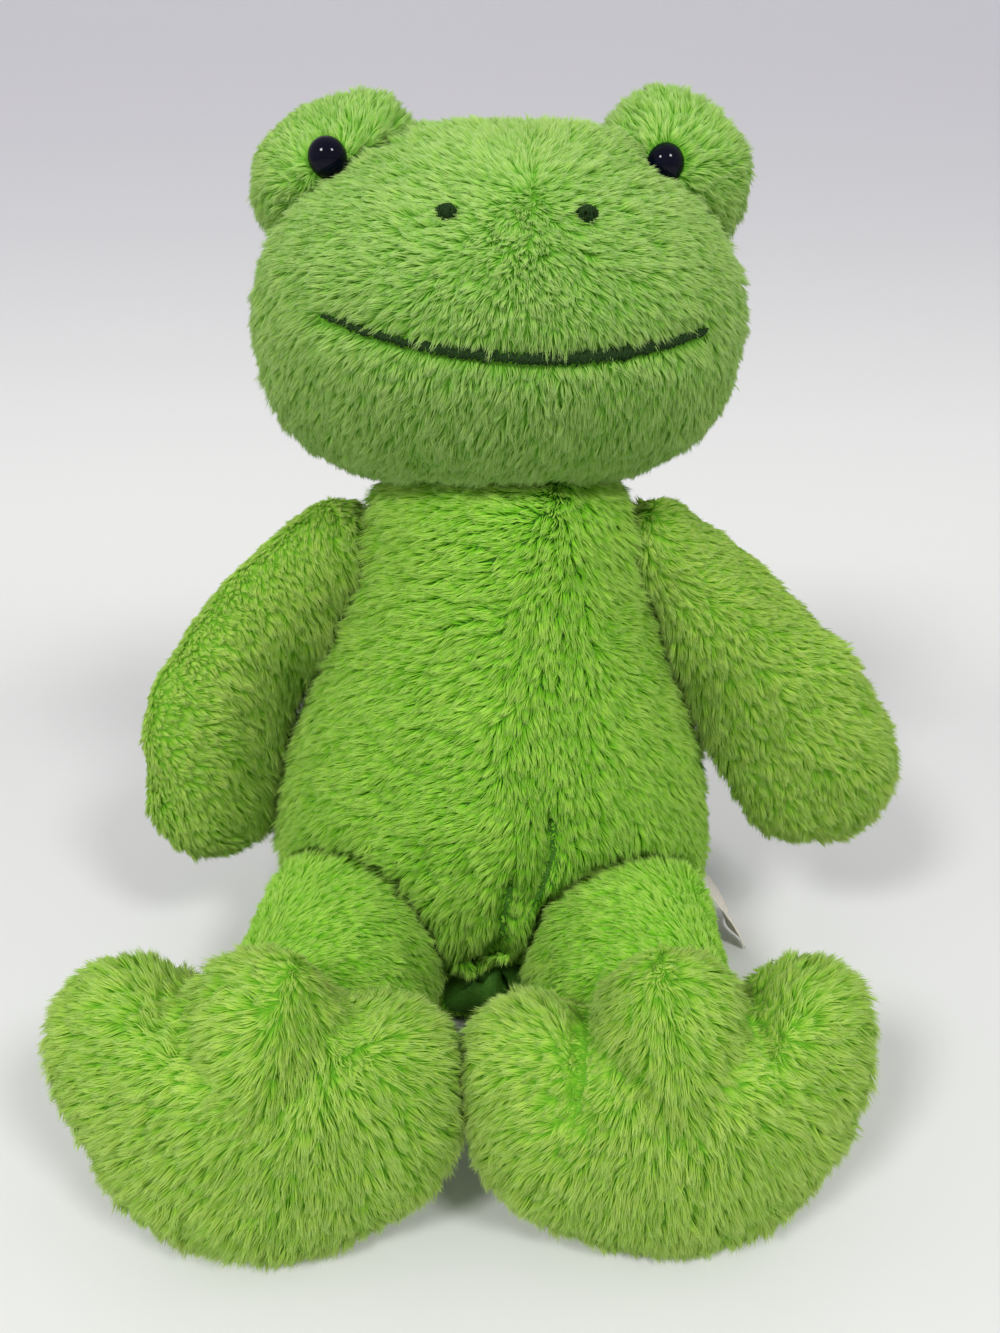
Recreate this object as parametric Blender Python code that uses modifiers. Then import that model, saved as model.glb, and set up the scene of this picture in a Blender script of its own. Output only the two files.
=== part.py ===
"""A seated plush frog: fabric covers over stuffing, eyes locked by washers, a stitched face, a care label.

Metres, +Z up. The frog looks along -Y, its left is +X, and the origin is the middle of the face it sits on.
The head and each limb turn about the middle of a ball, which sits in a dish cut from what it is sewn to.
A drawn form is a stack of rings. Its cover is a smooth skin through those rings, and its stuffing is the
same form set in by the cover's thickness.
"""

import math

import bmesh
import bpy
from mathutils import Matrix, Vector
from mathutils.bvhtree import BVHTree

# Fabric and clearances
COVER_THICKNESS = 0.006
STUFFING_GAP = 0.0005
SEAM_GAP = 0.0003
JOINT_GAP = 0.0008
NECK_GAP = 0.0003
FLAT_DEPTH = 0.0005
CUT_OVERRUN = 0.012
MERGE_DISTANCE = 0.00001

# Torso: the rings rise from the floor to the middle of the neck ball
TORSO_HALF_WIDTH = 0.089
TORSO_FRONT = 0.077
TORSO_BACK = 0.074
TORSO_SWAY = 0.0035
NECK_RADIUS = 0.054
NECK_HEIGHT = 0.172
NECK_SETBACK = 0.004
# (height, half width, front, back), as shares of NECK_HEIGHT and the three sizes above
TORSO_RING_SHARES = (
    (0.05, 0.81, 0.81, 0.83),
    (0.15, 0.945, 0.94, 0.94),
    (0.32, 1.0, 1.0, 1.0),
    (0.55, 0.93, 0.94, 0.94),
    (0.79, 0.745, 0.76, 0.815),
)
SEAT_SHARE = 0.58

# Head: its rings rise from under the chin to the crown, about the upright axis of the neck
HEAD_HALF_WIDTH = 0.088
HEAD_FRONT = 0.075
HEAD_BACK = 0.063
HEAD_HEIGHT = 0.127
CHIN_RISE = 0.0295
HEAD_TURN = math.radians(5.5)
# (height, half width, front, back), as shares of HEAD_HEIGHT and the three sizes above
HEAD_RING_SHARES = (
    (0.04, 0.52, 0.47, 0.55),
    (0.11, 0.76, 0.74, 0.78),
    (0.215, 0.92, 0.90, 0.92),
    (0.373, 0.995, 1.0, 0.99),
    (0.532, 1.0, 0.96, 1.0),
    (0.69, 0.92, 0.80, 0.98),
    (0.84, 0.715, 0.545, 0.87),
    (0.955, 0.40, 0.22, 0.62),
)
CROWN_SETBACK = 0.010

# Eye mounds, placed from the crown and the sides of the head
MOUND_HALF_WIDTH = 0.0275
MOUND_HALF_DEPTH = 0.025
MOUND_HALF_HEIGHT = 0.027
MOUND_INSET = 0.0295
MOUND_SINK = 0.021
MOUND_SETBACK = 0.004
MOUND_SHIFT = 0.003

# Eyes: gloss domes with a shank through the cover and a washer behind it
EYE_RADIUS = 0.0065
EYE_DOME_HEIGHT = 0.0058
EYE_SINK = 0.0018
EYE_RISE = 0.003
LEFT_EYE_SHIFT = 0.0085
RIGHT_EYE_SHIFT = 0.0015
EYE_TILT = math.radians(6)
EYE_SPLAY = math.radians(5)
SHANK_RADIUS = 0.002
SHANK_PROUD = 0.002
WASHER_RADIUS = 0.0065
WASHER_THICKNESS = 0.0015
WASHER_SETBACK = 0.0012

# Stitched mouth and nostrils: the shares are of the head's half width and height
MOUTH_HALF_SPAN_SHARE = 0.675
MOUTH_RISE_SHARE = 0.462
MOUTH_SAG = 0.010
MOUTH_LEAN = 0.002
MOUTH_RADIUS = 0.0016
NOSTRIL_SPREAD_SHARE = 0.244
NOSTRIL_RISE_SHARE = 0.712
NOSTRIL_LONG = 0.0042
NOSTRIL_SHORT = 0.0028
NOSTRIL_PROUD = 0.0012

# Arms: the spine runs from the shoulder ball to the middle of the hand, which hangs beside the belly
SHOULDER_RADIUS = 0.021
SHOULDER_SPREAD_SHARE = 0.70
SHOULDER_RISE = 0.005
SHOULDER_SETBACK = 0.002
ARM_LENGTH = 0.117
ARM_RADIUS = 0.027
LEFT_HAND_GAP = 0.0155
RIGHT_HAND_GAP = 0.0035
# Spine points as shares of the hand's way out and of ARM_LENGTH forward and down, then the radius as a
# share of ARM_RADIUS
REACHING_ARM_SHARES = ((0.36, 0.0, 0.18, 0.87), (0.72, 0.04, 0.475, 0.97), (1.0, 0.08, 0.765, 1.0))
HANGING_ARM_SHARES = ((0.48, 0.0, 0.22, 0.87), (0.86, 0.02, 0.52, 0.97), (1.0, 0.05, 0.845, 1.0))
SHOULDER_OPENING = 0.010
SHOULDER_LIFT = math.radians(70)
SHOULDER_DROP = math.radians(30)

# Legs: a hip ball, a short tube along the floor and an ankle ball
HIP_RADIUS = 0.0365
HIP_FORWARD_SHARE = 0.60
LEG_GAP = 0.0315
LEG_SHIFT = 0.00525
ANKLE_RADIUS = 0.035
LEG_LENGTH = 0.058
HIP_LIFT = math.radians(15)
HIP_DROP = math.radians(25)
LEFT_LEG_SPLAY = math.radians(-2)
RIGHT_LEG_SPLAY = math.radians(3)
HIP_OPENING = 0.014

# Feet: broad pads that stand on their heels with the soles forward
FOOT_WIDTH = 0.110
FOOT_LENGTH = 0.095
FOOT_THICKNESS = 0.042
FOOT_LEAN = math.radians(6)
FOOT_ROLL = math.radians(3)
FOOT_GAP = 0.0075
FOOT_SHIFT = 0.0097
ANKLE_SINK = 0.013
# The outline of the frog's left foot from its inner side round the toes to the heel, as shares of the half
# width across and the half length up, with the depth of the sole there as a share of its full swell
FOOT_OUTLINE_SHARES = (
    (-1.0, 0.0, 1.0),
    (-1.0, 0.28, 1.0),
    (-0.88, 0.49, 1.0),
    (-0.66, 0.55, 0.95),
    (-0.46, 0.52, 0.72),
    (-0.30, 0.82, 1.0),
    (-0.05, 0.94, 1.0),
    (0.20, 0.86, 1.0),
    (0.38, 0.70, 0.70),
    (0.60, 0.90, 1.0),
    (0.84, 0.88, 1.0),
    (1.0, 0.58, 1.0),
    (0.99, 0.10, 1.0),
    (0.84, -0.40, 1.0),
    (0.50, -0.84, 1.0),
    (0.0, -1.0, 1.0),
    (-0.50, -0.87, 1.0),
    (-0.88, -0.45, 1.0),
)
# Rings of the pad from the middle of the sole to the middle of the back: reach, then depth
FOOT_RING_SHARES = ((0.55, 0.96), (0.95, 0.42), (0.95, -0.42), (0.55, -0.96))

# Care label: a satin strip that hangs from the left side seam to the floor
LABEL_WIDTH = 0.030
LABEL_LENGTH = 0.041
LABEL_THICKNESS = 0.0008
LABEL_FALL_SHARE = 0.83
LABEL_SETBACK = 0.010
LABEL_SWAY = 0.0025

# Points round each ring, and steps along balls and turned pieces
TORSO_AROUND = 12
HEAD_AROUND = 12
MOUND_AROUND = 8
LIMB_AROUND = 8
BALL_STEPS = 2
TURN_STEPS = 12
CUTTER_AROUND = 16
CUTTER_RINGS = 10
SWING_STEPS = 3
FIT_PASSES = 8
DOME_STEPS = 5
MOUTH_POINTS = 25
NOSTRIL_AROUND = 12
NOSTRIL_RINGS = 8
LABEL_STEPS = 6

# Colours as (red, green, blue), roughness
PLUSH = ((0.27, 0.60, 0.09), 0.9)
FILL = ((0.86, 0.86, 0.83), 0.95)
EYE_BLACK = ((0.01, 0.01, 0.012), 0.08)
WASHER_WHITE = ((0.8, 0.8, 0.78), 0.5)
THREAD = ((0.05, 0.14, 0.03), 0.7)
SATIN = ((0.85, 0.82, 0.74), 0.4)


def new_collection(name, hidden):
    """A collection in the scene; a hidden one holds the cutters."""
    made = bpy.data.collections.new(name)
    made.hide_render = hidden
    bpy.context.scene.collection.children.link(made)
    return made


def finish(name, look):
    """A Principled material from one of the colour and roughness pairs."""
    colour, roughness = look
    material = bpy.data.materials.new(name)
    material.use_nodes = True
    shader = material.node_tree.nodes["Principled BSDF"]
    shader.inputs["Base Color"].default_value = (*colour, 1.0)
    shader.inputs["Roughness"].default_value = roughness
    shader.inputs["Metallic"].default_value = 0.0
    return material


def add_piece(name, data, look, parent=None):
    """A node of the frog, with its own material."""
    piece = bpy.data.objects.new(name, data)
    parts.objects.link(piece)
    piece.parent = parent
    data.materials.append(finish(name, look))
    return piece


def add_cutter(name, mesh, parent=None):
    """A guide that only cuts other pieces."""
    cutter = bpy.data.objects.new(name, mesh)
    cutters.objects.link(cutter)
    cutter.parent = parent
    cutter.hide_render = True
    cutter.display_type = "WIRE"
    return cutter


def add_joint(name, place, parent=None, turn=0.0):
    """An empty on a joint's axis, which carries the pieces that turn about it."""
    joint = bpy.data.objects.new(name, None)
    parts.objects.link(joint)
    joint.location = place
    joint.rotation_euler.z = turn
    joint.parent = parent
    return joint


def smooth(piece):
    """One round of subdivision, the same in the viewport and the render."""
    step = piece.modifiers.new("smooth", "SUBSURF")
    step.levels = 1
    step.render_levels = 1


def grow(piece, distance):
    """Moves a surface out along its normals, or in where the distance is negative."""
    step = piece.modifiers.new("grow", "DISPLACE")
    step.mid_level = 0.0
    step.strength = distance


def carve(piece, *tools):
    """Cuts each tool from the piece."""
    for tool in tools:
        cut = piece.modifiers.new("cut " + tool.name, "BOOLEAN")
        cut.operation = "DIFFERENCE"
        cut.solver = "EXACT"
        cut.object = tool


def evaluated_mesh(piece):
    """A copy of the piece's mesh with its modifiers applied, in its own space."""
    bpy.context.view_layer.update()
    graph = bpy.context.evaluated_depsgraph_get()
    return bpy.data.meshes.new_from_object(piece.evaluated_get(graph))


def surface_tree(piece):
    """A tree that answers rays against the piece's finished surface, in world space."""
    mesh = evaluated_mesh(piece)
    mesh.transform(piece.matrix_world)
    points = [v.co.copy() for v in mesh.vertices]
    faces = [tuple(face.vertices) for face in mesh.polygons]
    bpy.data.meshes.remove(mesh)
    return BVHTree.FromPolygons(points, faces)


def drawn_form(name, rings, start, end):
    """A closed form through a stack of rings, each with the same number of points, and a point at each end."""
    around = len(rings[0])
    points = [start] + [point for ring in rings for point in ring] + [end]
    last = len(points) - 1
    faces = []
    for k in range(around):
        after = (k + 1) % around
        faces.append((0, 1 + after, 1 + k))
        for r in range(len(rings) - 1):
            low = 1 + r * around
            high = low + around
            faces.append((low + k, low + after, high + after, high + k))
        top = 1 + (len(rings) - 1) * around
        faces.append((top + k, top + after, last))
    mesh = bpy.data.meshes.new(name)
    mesh.from_pydata(points, [], faces)
    shape = bmesh.new()
    shape.from_mesh(mesh)
    bmesh.ops.recalc_face_normals(shape, faces=shape.faces)
    shape.to_mesh(mesh)
    shape.free()
    return mesh


def fitted_cage(name, drawn):
    """A cage whose smoothed surface passes through the drawn points, found by moving each by its miss."""
    cage = drawn.copy()
    cage.name = name
    trial = add_cutter(name + " trial", cage)
    smooth(trial)
    for _ in range(FIT_PASSES):
        settled = evaluated_mesh(trial)
        for point, goal in zip(cage.vertices, drawn.vertices):
            point.co += goal.co - settled.vertices[point.index].co
        cage.update()
        bpy.data.meshes.remove(settled)
    bpy.data.objects.remove(trial)
    for face in cage.polygons:
        face.use_smooth = True
    return cage


def triangulated(name, drawn):
    """A copy of a drawn form in triangles, so that each offset of it bends along the same edges."""
    shape = bmesh.new()
    shape.from_mesh(drawn)
    bmesh.ops.triangulate(shape, faces=shape.faces, quad_method="FIXED")
    mesh = bpy.data.meshes.new(name)
    shape.to_mesh(mesh)
    shape.free()
    return mesh


def stuffed_pair(name, drawn, parent, tools, place=None):
    """The cover and the stuffing of one form: the cover is hollowed, and the tools cut both."""
    inner = triangulated(name, drawn)
    void = add_cutter(name + "_void", inner, parent)
    grow(void, -COVER_THICKNESS)
    cover = add_piece(name + "_cover", fitted_cage(name + "_cover", drawn), PLUSH, parent)
    smooth(cover)
    stuffing = add_piece(name + "_stuffing", inner.copy(), FILL, parent)
    grow(stuffing, -COVER_THICKNESS - STUFFING_GAP)
    if place is not None:
        for piece in (void, cover, stuffing):
            piece.matrix_basis = place
    carve(cover, void)
    carve(cover, *tools)
    carve(stuffing, *tools)
    return cover, stuffing


def dish_cutter(name, parent, gap, radius, limb=None, limb_radius=0.0, lift=0.0, drop=0.0):
    """Room for the ball that turns on a joint, and for the limb on it from the low to the high end of its swing."""
    balls = [(Vector((0, 0, 0)), radius)]
    if limb is not None:
        for k in range(SWING_STEPS + 1):
            turn = drop - (lift + drop) * k / SWING_STEPS
            balls.append((Matrix.Rotation(turn, 3, "X") @ limb, limb_radius))
    facet_share = math.cos(math.pi / CUTTER_AROUND) * math.cos(math.pi / CUTTER_RINGS / 2)
    shape = bmesh.new()
    for centre, reach in balls:
        bmesh.ops.create_uvsphere(
            shape,
            u_segments=CUTTER_AROUND,
            v_segments=CUTTER_RINGS,
            radius=(reach + gap) / facet_share,
            matrix=Matrix.Translation(centre),
        )
    bmesh.ops.delete(shape, geom=shape.edges[:], context="EDGES_FACES")
    bmesh.ops.convex_hull(shape, input=shape.verts)
    inner = [point for point in shape.verts if not point.link_faces]
    bmesh.ops.delete(shape, geom=inner, context="VERTS")
    bmesh.ops.recalc_face_normals(shape, faces=shape.faces)
    mesh = bpy.data.meshes.new(name)
    shape.to_mesh(mesh)
    shape.free()
    return add_cutter(name, mesh, parent)


def rod_cutter(name, radius, length, parent, along):
    """A round hole that starts at the joint and runs along the given direction."""
    shape = bmesh.new()
    bmesh.ops.create_cone(
        shape,
        segments=CUTTER_AROUND // 2,
        radius1=radius,
        radius2=radius,
        depth=length,
        cap_ends=True,
        matrix=Matrix.Translation((0, 0, length / 2)),
    )
    mesh = bpy.data.meshes.new(name)
    shape.to_mesh(mesh)
    shape.free()
    rod = add_cutter(name, mesh, parent)
    rod.rotation_euler = along.to_track_quat("Z", "Y").to_euler()
    return rod


def floor_cutter():
    """Everything below the floor, so that the frog sits on flats."""
    reach = 2 * (TORSO_HALF_WIDTH + TORSO_FRONT + LEG_LENGTH + FOOT_WIDTH)
    shape = bmesh.new()
    bmesh.ops.create_cube(shape, size=1.0)
    bmesh.ops.scale(shape, vec=(reach, reach, CUT_OVERRUN), verts=shape.verts)
    bmesh.ops.translate(shape, vec=(0, 0, -CUT_OVERRUN / 2), verts=shape.verts)
    mesh = bpy.data.meshes.new("floor")
    shape.to_mesh(mesh)
    shape.free()
    return add_cutter("floor", mesh)


def turned(name, outline):
    """A closed round mesh about Z, from (radius, height) points that run down its outer side."""
    mesh = bpy.data.meshes.new(name)
    points = [(radius, 0, height) for radius, height in outline]
    mesh.from_pydata(points, [(k, k + 1) for k in range(len(points) - 1)], [])
    trial = add_cutter(name + " trial", mesh)
    turn = trial.modifiers.new("turn", "SCREW")
    turn.steps = TURN_STEPS
    turn.render_steps = TURN_STEPS
    turn.use_merge_vertices = True
    turn.merge_threshold = MERGE_DISTANCE
    made = evaluated_mesh(trial)
    made.name = name
    bpy.data.objects.remove(trial)
    return made


def egg_ring(height, half_width, front, back, around):
    """A level ring, wider than deep, with a front and a back of their own."""
    points = []
    for k in range(around):
        turn = 2 * math.pi * (k + 0.5) / around
        side = math.cos(turn)
        depth = math.sin(turn)
        points.append(Vector((half_width * side, (back if depth > 0 else front) * depth, height)))
    return points


def round_ring(centre, along, radius, around):
    """A round ring square to a spine."""
    across = Vector((0, 1, 0)).cross(along)
    if across.length < along.length / 2:
        across = Vector((1, 0, 0)).cross(along)
    across.normalize()
    rise = along.normalized().cross(across)
    turns = [2 * math.pi * (k + 0.5) / around for k in range(around)]
    return [centre + radius * (across * math.cos(turn) + rise * math.sin(turn)) for turn in turns]


def limb_form(name, spine, radii):
    """A tube along a spine with a ball at each end."""
    count = len(spine)
    along = []
    for k in range(count):
        way = spine[min(k + 1, count - 1)] - spine[max(k - 1, 0)]
        along.append(way.normalized())
    rings = []
    for k in range(BALL_STEPS, 0, -1):
        turn = math.pi / 2 * k / (BALL_STEPS + 1)
        centre = spine[0] - along[0] * radii[0] * math.sin(turn)
        rings.append(round_ring(centre, along[0], radii[0] * math.cos(turn), LIMB_AROUND))
    for centre, way, radius in zip(spine, along, radii):
        rings.append(round_ring(centre, way, radius, LIMB_AROUND))
    for k in range(1, BALL_STEPS + 1):
        turn = math.pi / 2 * k / (BALL_STEPS + 1)
        centre = spine[-1] + along[-1] * radii[-1] * math.sin(turn)
        rings.append(round_ring(centre, along[-1], radii[-1] * math.cos(turn), LIMB_AROUND))
    start = spine[0] - along[0] * radii[0]
    end = spine[-1] + along[-1] * radii[-1]
    return drawn_form(name, rings, start, end), along[0]


def build_torso(tools):
    """The pear-shaped body, whose top is the ball that the head turns on."""
    rings = [
        egg_ring(
            -FLAT_DEPTH,
            TORSO_HALF_WIDTH * SEAT_SHARE,
            TORSO_FRONT * SEAT_SHARE,
            TORSO_BACK * SEAT_SHARE,
            TORSO_AROUND,
        )
    ]
    for height, width, front, back in TORSO_RING_SHARES:
        sway = Vector((-TORSO_SWAY * math.cos(math.pi / 2 * height), 0, 0))
        ring = egg_ring(
            NECK_HEIGHT * height,
            TORSO_HALF_WIDTH * width,
            TORSO_FRONT * front,
            TORSO_BACK * back,
            TORSO_AROUND,
        )
        rings.append([sway + point for point in ring])
    centre = Vector((0, NECK_SETBACK, NECK_HEIGHT))
    for k in range(BALL_STEPS + 1):
        turn = math.pi / 2 * k / (BALL_STEPS + 1)
        level = centre + Vector((0, 0, NECK_RADIUS * math.sin(turn)))
        reach = NECK_RADIUS * math.cos(turn)
        rings.append([level + point for point in egg_ring(0, reach, reach, reach, TORSO_AROUND)])
    start = Vector((0, 0, -FLAT_DEPTH))
    end = centre + Vector((0, 0, NECK_RADIUS))
    return stuffed_pair("torso", drawn_form("torso", rings, start, end), None, tools)


def head_form():
    """The wide head, drawn from the middle of the neck ball."""
    bottom = CHIN_RISE
    rings = [
        egg_ring(
            bottom + HEAD_HEIGHT * height,
            HEAD_HALF_WIDTH * width,
            HEAD_FRONT * front,
            HEAD_BACK * back,
            HEAD_AROUND,
        )
        for height, width, front, back in HEAD_RING_SHARES
    ]
    crown = Vector((0, CROWN_SETBACK, bottom + HEAD_HEIGHT))
    return drawn_form("head", rings, Vector((0, 0, bottom)), crown)


def mound_centre(side):
    """The middle of one eye mound, from the middle of the neck ball."""
    across = side * (HEAD_HALF_WIDTH - MOUND_INSET) + MOUND_SHIFT
    return Vector((across, MOUND_SETBACK, CHIN_RISE + HEAD_HEIGHT - MOUND_SINK))


def mound_form(side):
    """The dome that holds one eye."""
    centre = mound_centre(side)
    rings = []
    for k in range(-BALL_STEPS, BALL_STEPS + 1):
        turn = math.pi / 2 * k / (BALL_STEPS + 1)
        reach = math.cos(turn)
        ring = egg_ring(
            MOUND_HALF_HEIGHT * math.sin(turn),
            MOUND_HALF_WIDTH * reach,
            MOUND_HALF_DEPTH * reach,
            MOUND_HALF_DEPTH * reach,
            MOUND_AROUND,
        )
        rings.append([centre + point for point in ring])
    pole = Vector((0, 0, MOUND_HALF_HEIGHT))
    return drawn_form("mound", rings, centre - pole, centre + pole)


def build_eye(side_name, side, shift, neck, cover, void):
    """An eye with its washer, and the tools that make room for both: one for covers, one for stuffing."""
    middle = mound_centre(side) + Vector((-shift, 0, EYE_RISE))
    aim = Matrix.Rotation(side * EYE_SPLAY, 4, "Z") @ Matrix.Rotation(-EYE_TILT, 4, "X")
    facing = (aim @ Vector((0, -1, 0))).normalized()
    bpy.context.view_layer.update()
    world = neck.matrix_world
    far = 2 * MOUND_HALF_DEPTH
    start = world @ (middle + facing * far)
    way = (world.to_3x3() @ facing).normalized()
    outer = surface_tree(cover).ray_cast(start, -way)[3]
    inner = surface_tree(void).ray_cast(start, -way)[3]
    base = far - outer - EYE_SINK
    wall = inner - outer
    washer_front = -(wall - EYE_SINK) - WASHER_SETBACK
    washer_back = washer_front - WASHER_THICKNESS
    shank_end = washer_back - SHANK_PROUD
    seat = middle + facing * base
    spin = facing.to_track_quat("Z", "Y").to_euler()

    def put(piece):
        piece.location = seat
        piece.rotation_euler = spin

    dome = []
    for k in range(DOME_STEPS + 1):
        turn = math.pi / 2 * (1 - k / DOME_STEPS)
        dome.append((EYE_RADIUS * math.cos(turn), EYE_DOME_HEIGHT * math.sin(turn)))
    dome[0] = (0, EYE_DOME_HEIGHT)
    profile = dome + [(SHANK_RADIUS, 0), (SHANK_RADIUS, shank_end), (0, shank_end)]
    eye = add_piece(side_name + "_eye", turned("eye", profile), EYE_BLACK, neck)
    put(eye)

    hole = SHANK_RADIUS + SEAM_GAP
    ring = [
        (hole, washer_front),
        (WASHER_RADIUS, washer_front),
        (WASHER_RADIUS, washer_back),
        (hole, washer_back),
        (hole, washer_front),
    ]
    washer = add_piece(side_name + "_eye_washer", turned("washer", ring), WASHER_WHITE, neck)
    put(washer)

    pocket = EYE_RADIUS + SEAM_GAP
    room = WASHER_RADIUS + SEAM_GAP
    low = washer_back - SHANK_PROUD - SEAM_GAP
    seat_profile = [
        (0, CUT_OVERRUN),
        (pocket, CUT_OVERRUN),
        (pocket, -SEAM_GAP),
        (hole, -SEAM_GAP),
        (hole, washer_front + SEAM_GAP),
        (room, washer_front + SEAM_GAP),
        (room, low),
        (0, low),
    ]
    cover_tool = add_cutter(side_name + "_eye_seat", turned("eye seat", seat_profile), neck)
    put(cover_tool)

    room_profile = [(0, CUT_OVERRUN), (room, CUT_OVERRUN), (room, low), (0, low)]
    stuffing_tool = add_cutter(side_name + "_washer_room", turned("washer room", room_profile), neck)
    put(stuffing_tool)
    return cover_tool, stuffing_tool


def head_spot(tree, neck, across, rise):
    """Where a line straight back from in front of the head meets it, with the way out, in neck space."""
    start = neck.matrix_world @ Vector((across, -2 * HEAD_FRONT, rise))
    way = neck.matrix_world.to_3x3() @ Vector((0, 1, 0))
    place, normal, _, _ = tree.ray_cast(start, way)
    back = neck.matrix_world.inverted()
    return back @ place, (back.to_3x3() @ normal).normalized()


def build_mouth(tree, neck):
    """One thread line across the head, lowest a little to the frog's left of the middle."""
    curve = bpy.data.curves.new("mouth", "CURVE")
    curve.dimensions = "3D"
    curve.bevel_depth = MOUTH_RADIUS
    curve.bevel_resolution = 1
    curve.use_fill_caps = True
    line = curve.splines.new("POLY")
    line.points.add(MOUTH_POINTS - 1)
    corner = CHIN_RISE + HEAD_HEIGHT * MOUTH_RISE_SHARE
    half_span = HEAD_HALF_WIDTH * MOUTH_HALF_SPAN_SHARE
    for k, point in enumerate(line.points):
        share = 2 * k / (MOUTH_POINTS - 1) - 1
        rise = corner - MOUTH_SAG * (1 - share * share) - MOUTH_LEAN * share
        place, normal = head_spot(tree, neck, half_span * share, rise)
        point.co = (*(place + normal * (MOUTH_RADIUS + SEAM_GAP)), 1)
    add_piece("mouth_embroidery", curve, THREAD, neck)


def build_nostril(side_name, side, tree, neck):
    """A low oval patch of satin stitch, upright on the muzzle."""
    across = side * HEAD_HALF_WIDTH * NOSTRIL_SPREAD_SHARE
    place, normal = head_spot(tree, neck, across, CHIN_RISE + HEAD_HEIGHT * NOSTRIL_RISE_SHARE)
    shape = bmesh.new()
    bmesh.ops.create_uvsphere(
        shape, u_segments=NOSTRIL_AROUND, v_segments=NOSTRIL_RINGS, radius=1.0
    )
    bmesh.ops.scale(shape, vec=(NOSTRIL_LONG, NOSTRIL_SHORT, NOSTRIL_PROUD), verts=shape.verts)
    mesh = bpy.data.meshes.new("nostril")
    shape.to_mesh(mesh)
    shape.free()
    patch = add_piece(side_name + "_nostril_embroidery", mesh, THREAD, neck)
    patch.location = place + normal * (NOSTRIL_PROUD + 2 * SEAM_GAP)
    patch.rotation_euler = normal.to_track_quat("Z", "Y").to_euler()


def build_head(neck, neck_dish):
    """The head, its two eye mounds and its stitched face."""
    drawn = head_form()
    head, fill = stuffed_pair("head", drawn, neck, [neck_dish])
    skin = add_cutter("head_skin", fitted_cage("head_skin", drawn), neck)
    smooth(skin)
    tree = surface_tree(skin)
    grow(skin, SEAM_GAP)
    for side_name, side, shift in (("left", 1, LEFT_EYE_SHIFT), ("right", -1, RIGHT_EYE_SHIFT)):
        name = side_name + "_eye_mound"
        mound, mound_fill = stuffed_pair(name, mound_form(side), neck, [])
        void = bpy.data.objects[name + "_void"]
        seat, room = build_eye(side_name, side, shift, neck, mound, void)
        carve(mound, seat, skin)
        carve(mound_fill, room, skin)
        carve(head, room)
        carve(fill, room)
        build_nostril(side_name, side, tree, neck)
    build_mouth(tree, neck)


def build_arm(side_name, side, hand_gap, shares):
    """One arm from its shoulder ball to its hand."""
    spread = TORSO_HALF_WIDTH * SHOULDER_SPREAD_SHARE
    shoulder = add_joint(
        side_name + "_shoulder", (side * spread, SHOULDER_SETBACK, NECK_HEIGHT + SHOULDER_RISE)
    )
    way_out = TORSO_HALF_WIDTH + hand_gap + ARM_RADIUS - spread
    spine = [Vector((0, 0, 0))]
    radii = [SHOULDER_RADIUS]
    for out, forward, down, radius in shares:
        spine.append(Vector((side * way_out * out, -ARM_LENGTH * forward, -ARM_LENGTH * down)))
        radii.append(ARM_RADIUS * radius)
    drawn, along = limb_form(side_name + "_arm", spine, radii)
    opening = rod_cutter(
        side_name + "_arm_opening", SHOULDER_OPENING, SHOULDER_RADIUS + CUT_OVERRUN, shoulder, -along
    )
    cover, _ = stuffed_pair(side_name + "_arm", drawn, shoulder, [])
    carve(cover, opening)
    return dish_cutter(
        side_name + "_shoulder_dish",
        shoulder,
        JOINT_GAP,
        SHOULDER_RADIUS,
        spine[1],
        radii[1],
        SHOULDER_LIFT,
        SHOULDER_DROP,
    )


def build_leg(side_name, side, splay, floor):
    """One leg from its hip ball to its ankle ball, and the foot on it."""
    across = side * (HIP_RADIUS + LEG_GAP / 2) - LEG_SHIFT
    hip_height = HIP_RADIUS - FLAT_DEPTH
    ankle_height = ANKLE_RADIUS - FLAT_DEPTH
    hip = add_joint(side_name + "_hip", (across, -TORSO_FRONT * HIP_FORWARD_SHARE, hip_height))
    way = Vector((side * math.sin(splay), -math.cos(splay), 0))
    ankle_place = way * LEG_LENGTH + Vector((0, 0, ankle_height - hip_height))
    drawn, along = limb_form(
        side_name + "_leg",
        [Vector((0, 0, 0)), ankle_place / 2, ankle_place],
        [HIP_RADIUS, (HIP_RADIUS + ANKLE_RADIUS) / 2, ANKLE_RADIUS],
    )
    opening = rod_cutter(
        side_name + "_leg_opening", HIP_OPENING, HIP_RADIUS + CUT_OVERRUN, hip, -along
    )
    cover, _ = stuffed_pair(side_name + "_leg", drawn, hip, [])
    carve(cover, opening, floor)
    ankle = add_joint(side_name + "_ankle", ankle_place, hip)
    dish = dish_cutter(side_name + "_ankle_dish", ankle, JOINT_GAP, ANKLE_RADIUS)
    build_foot(side_name, side, ankle, [dish, floor])
    return dish_cutter(
        side_name + "_hip_dish",
        hip,
        JOINT_GAP,
        HIP_RADIUS,
        ankle_place,
        ANKLE_RADIUS,
        HIP_LIFT,
        HIP_DROP,
    )


def foot_form(side):
    """A pad in its own plane: X across, Y up the sole and Z out of it."""
    rings = []
    for reach, depth in FOOT_RING_SHARES:
        ring = []
        for across, up, swell in FOOT_OUTLINE_SHARES:
            crease = swell if depth > 0 else 1.0
            ring.append(
                Vector(
                    (
                        side * FOOT_WIDTH / 2 * across * reach,
                        FOOT_LENGTH / 2 * up * reach,
                        FOOT_THICKNESS / 2 * depth * crease,
                    )
                )
            )
        rings.append(ring)
    middle = Vector((0, 0, FOOT_THICKNESS / 2))
    return drawn_form("foot", rings, middle, -middle)


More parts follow.
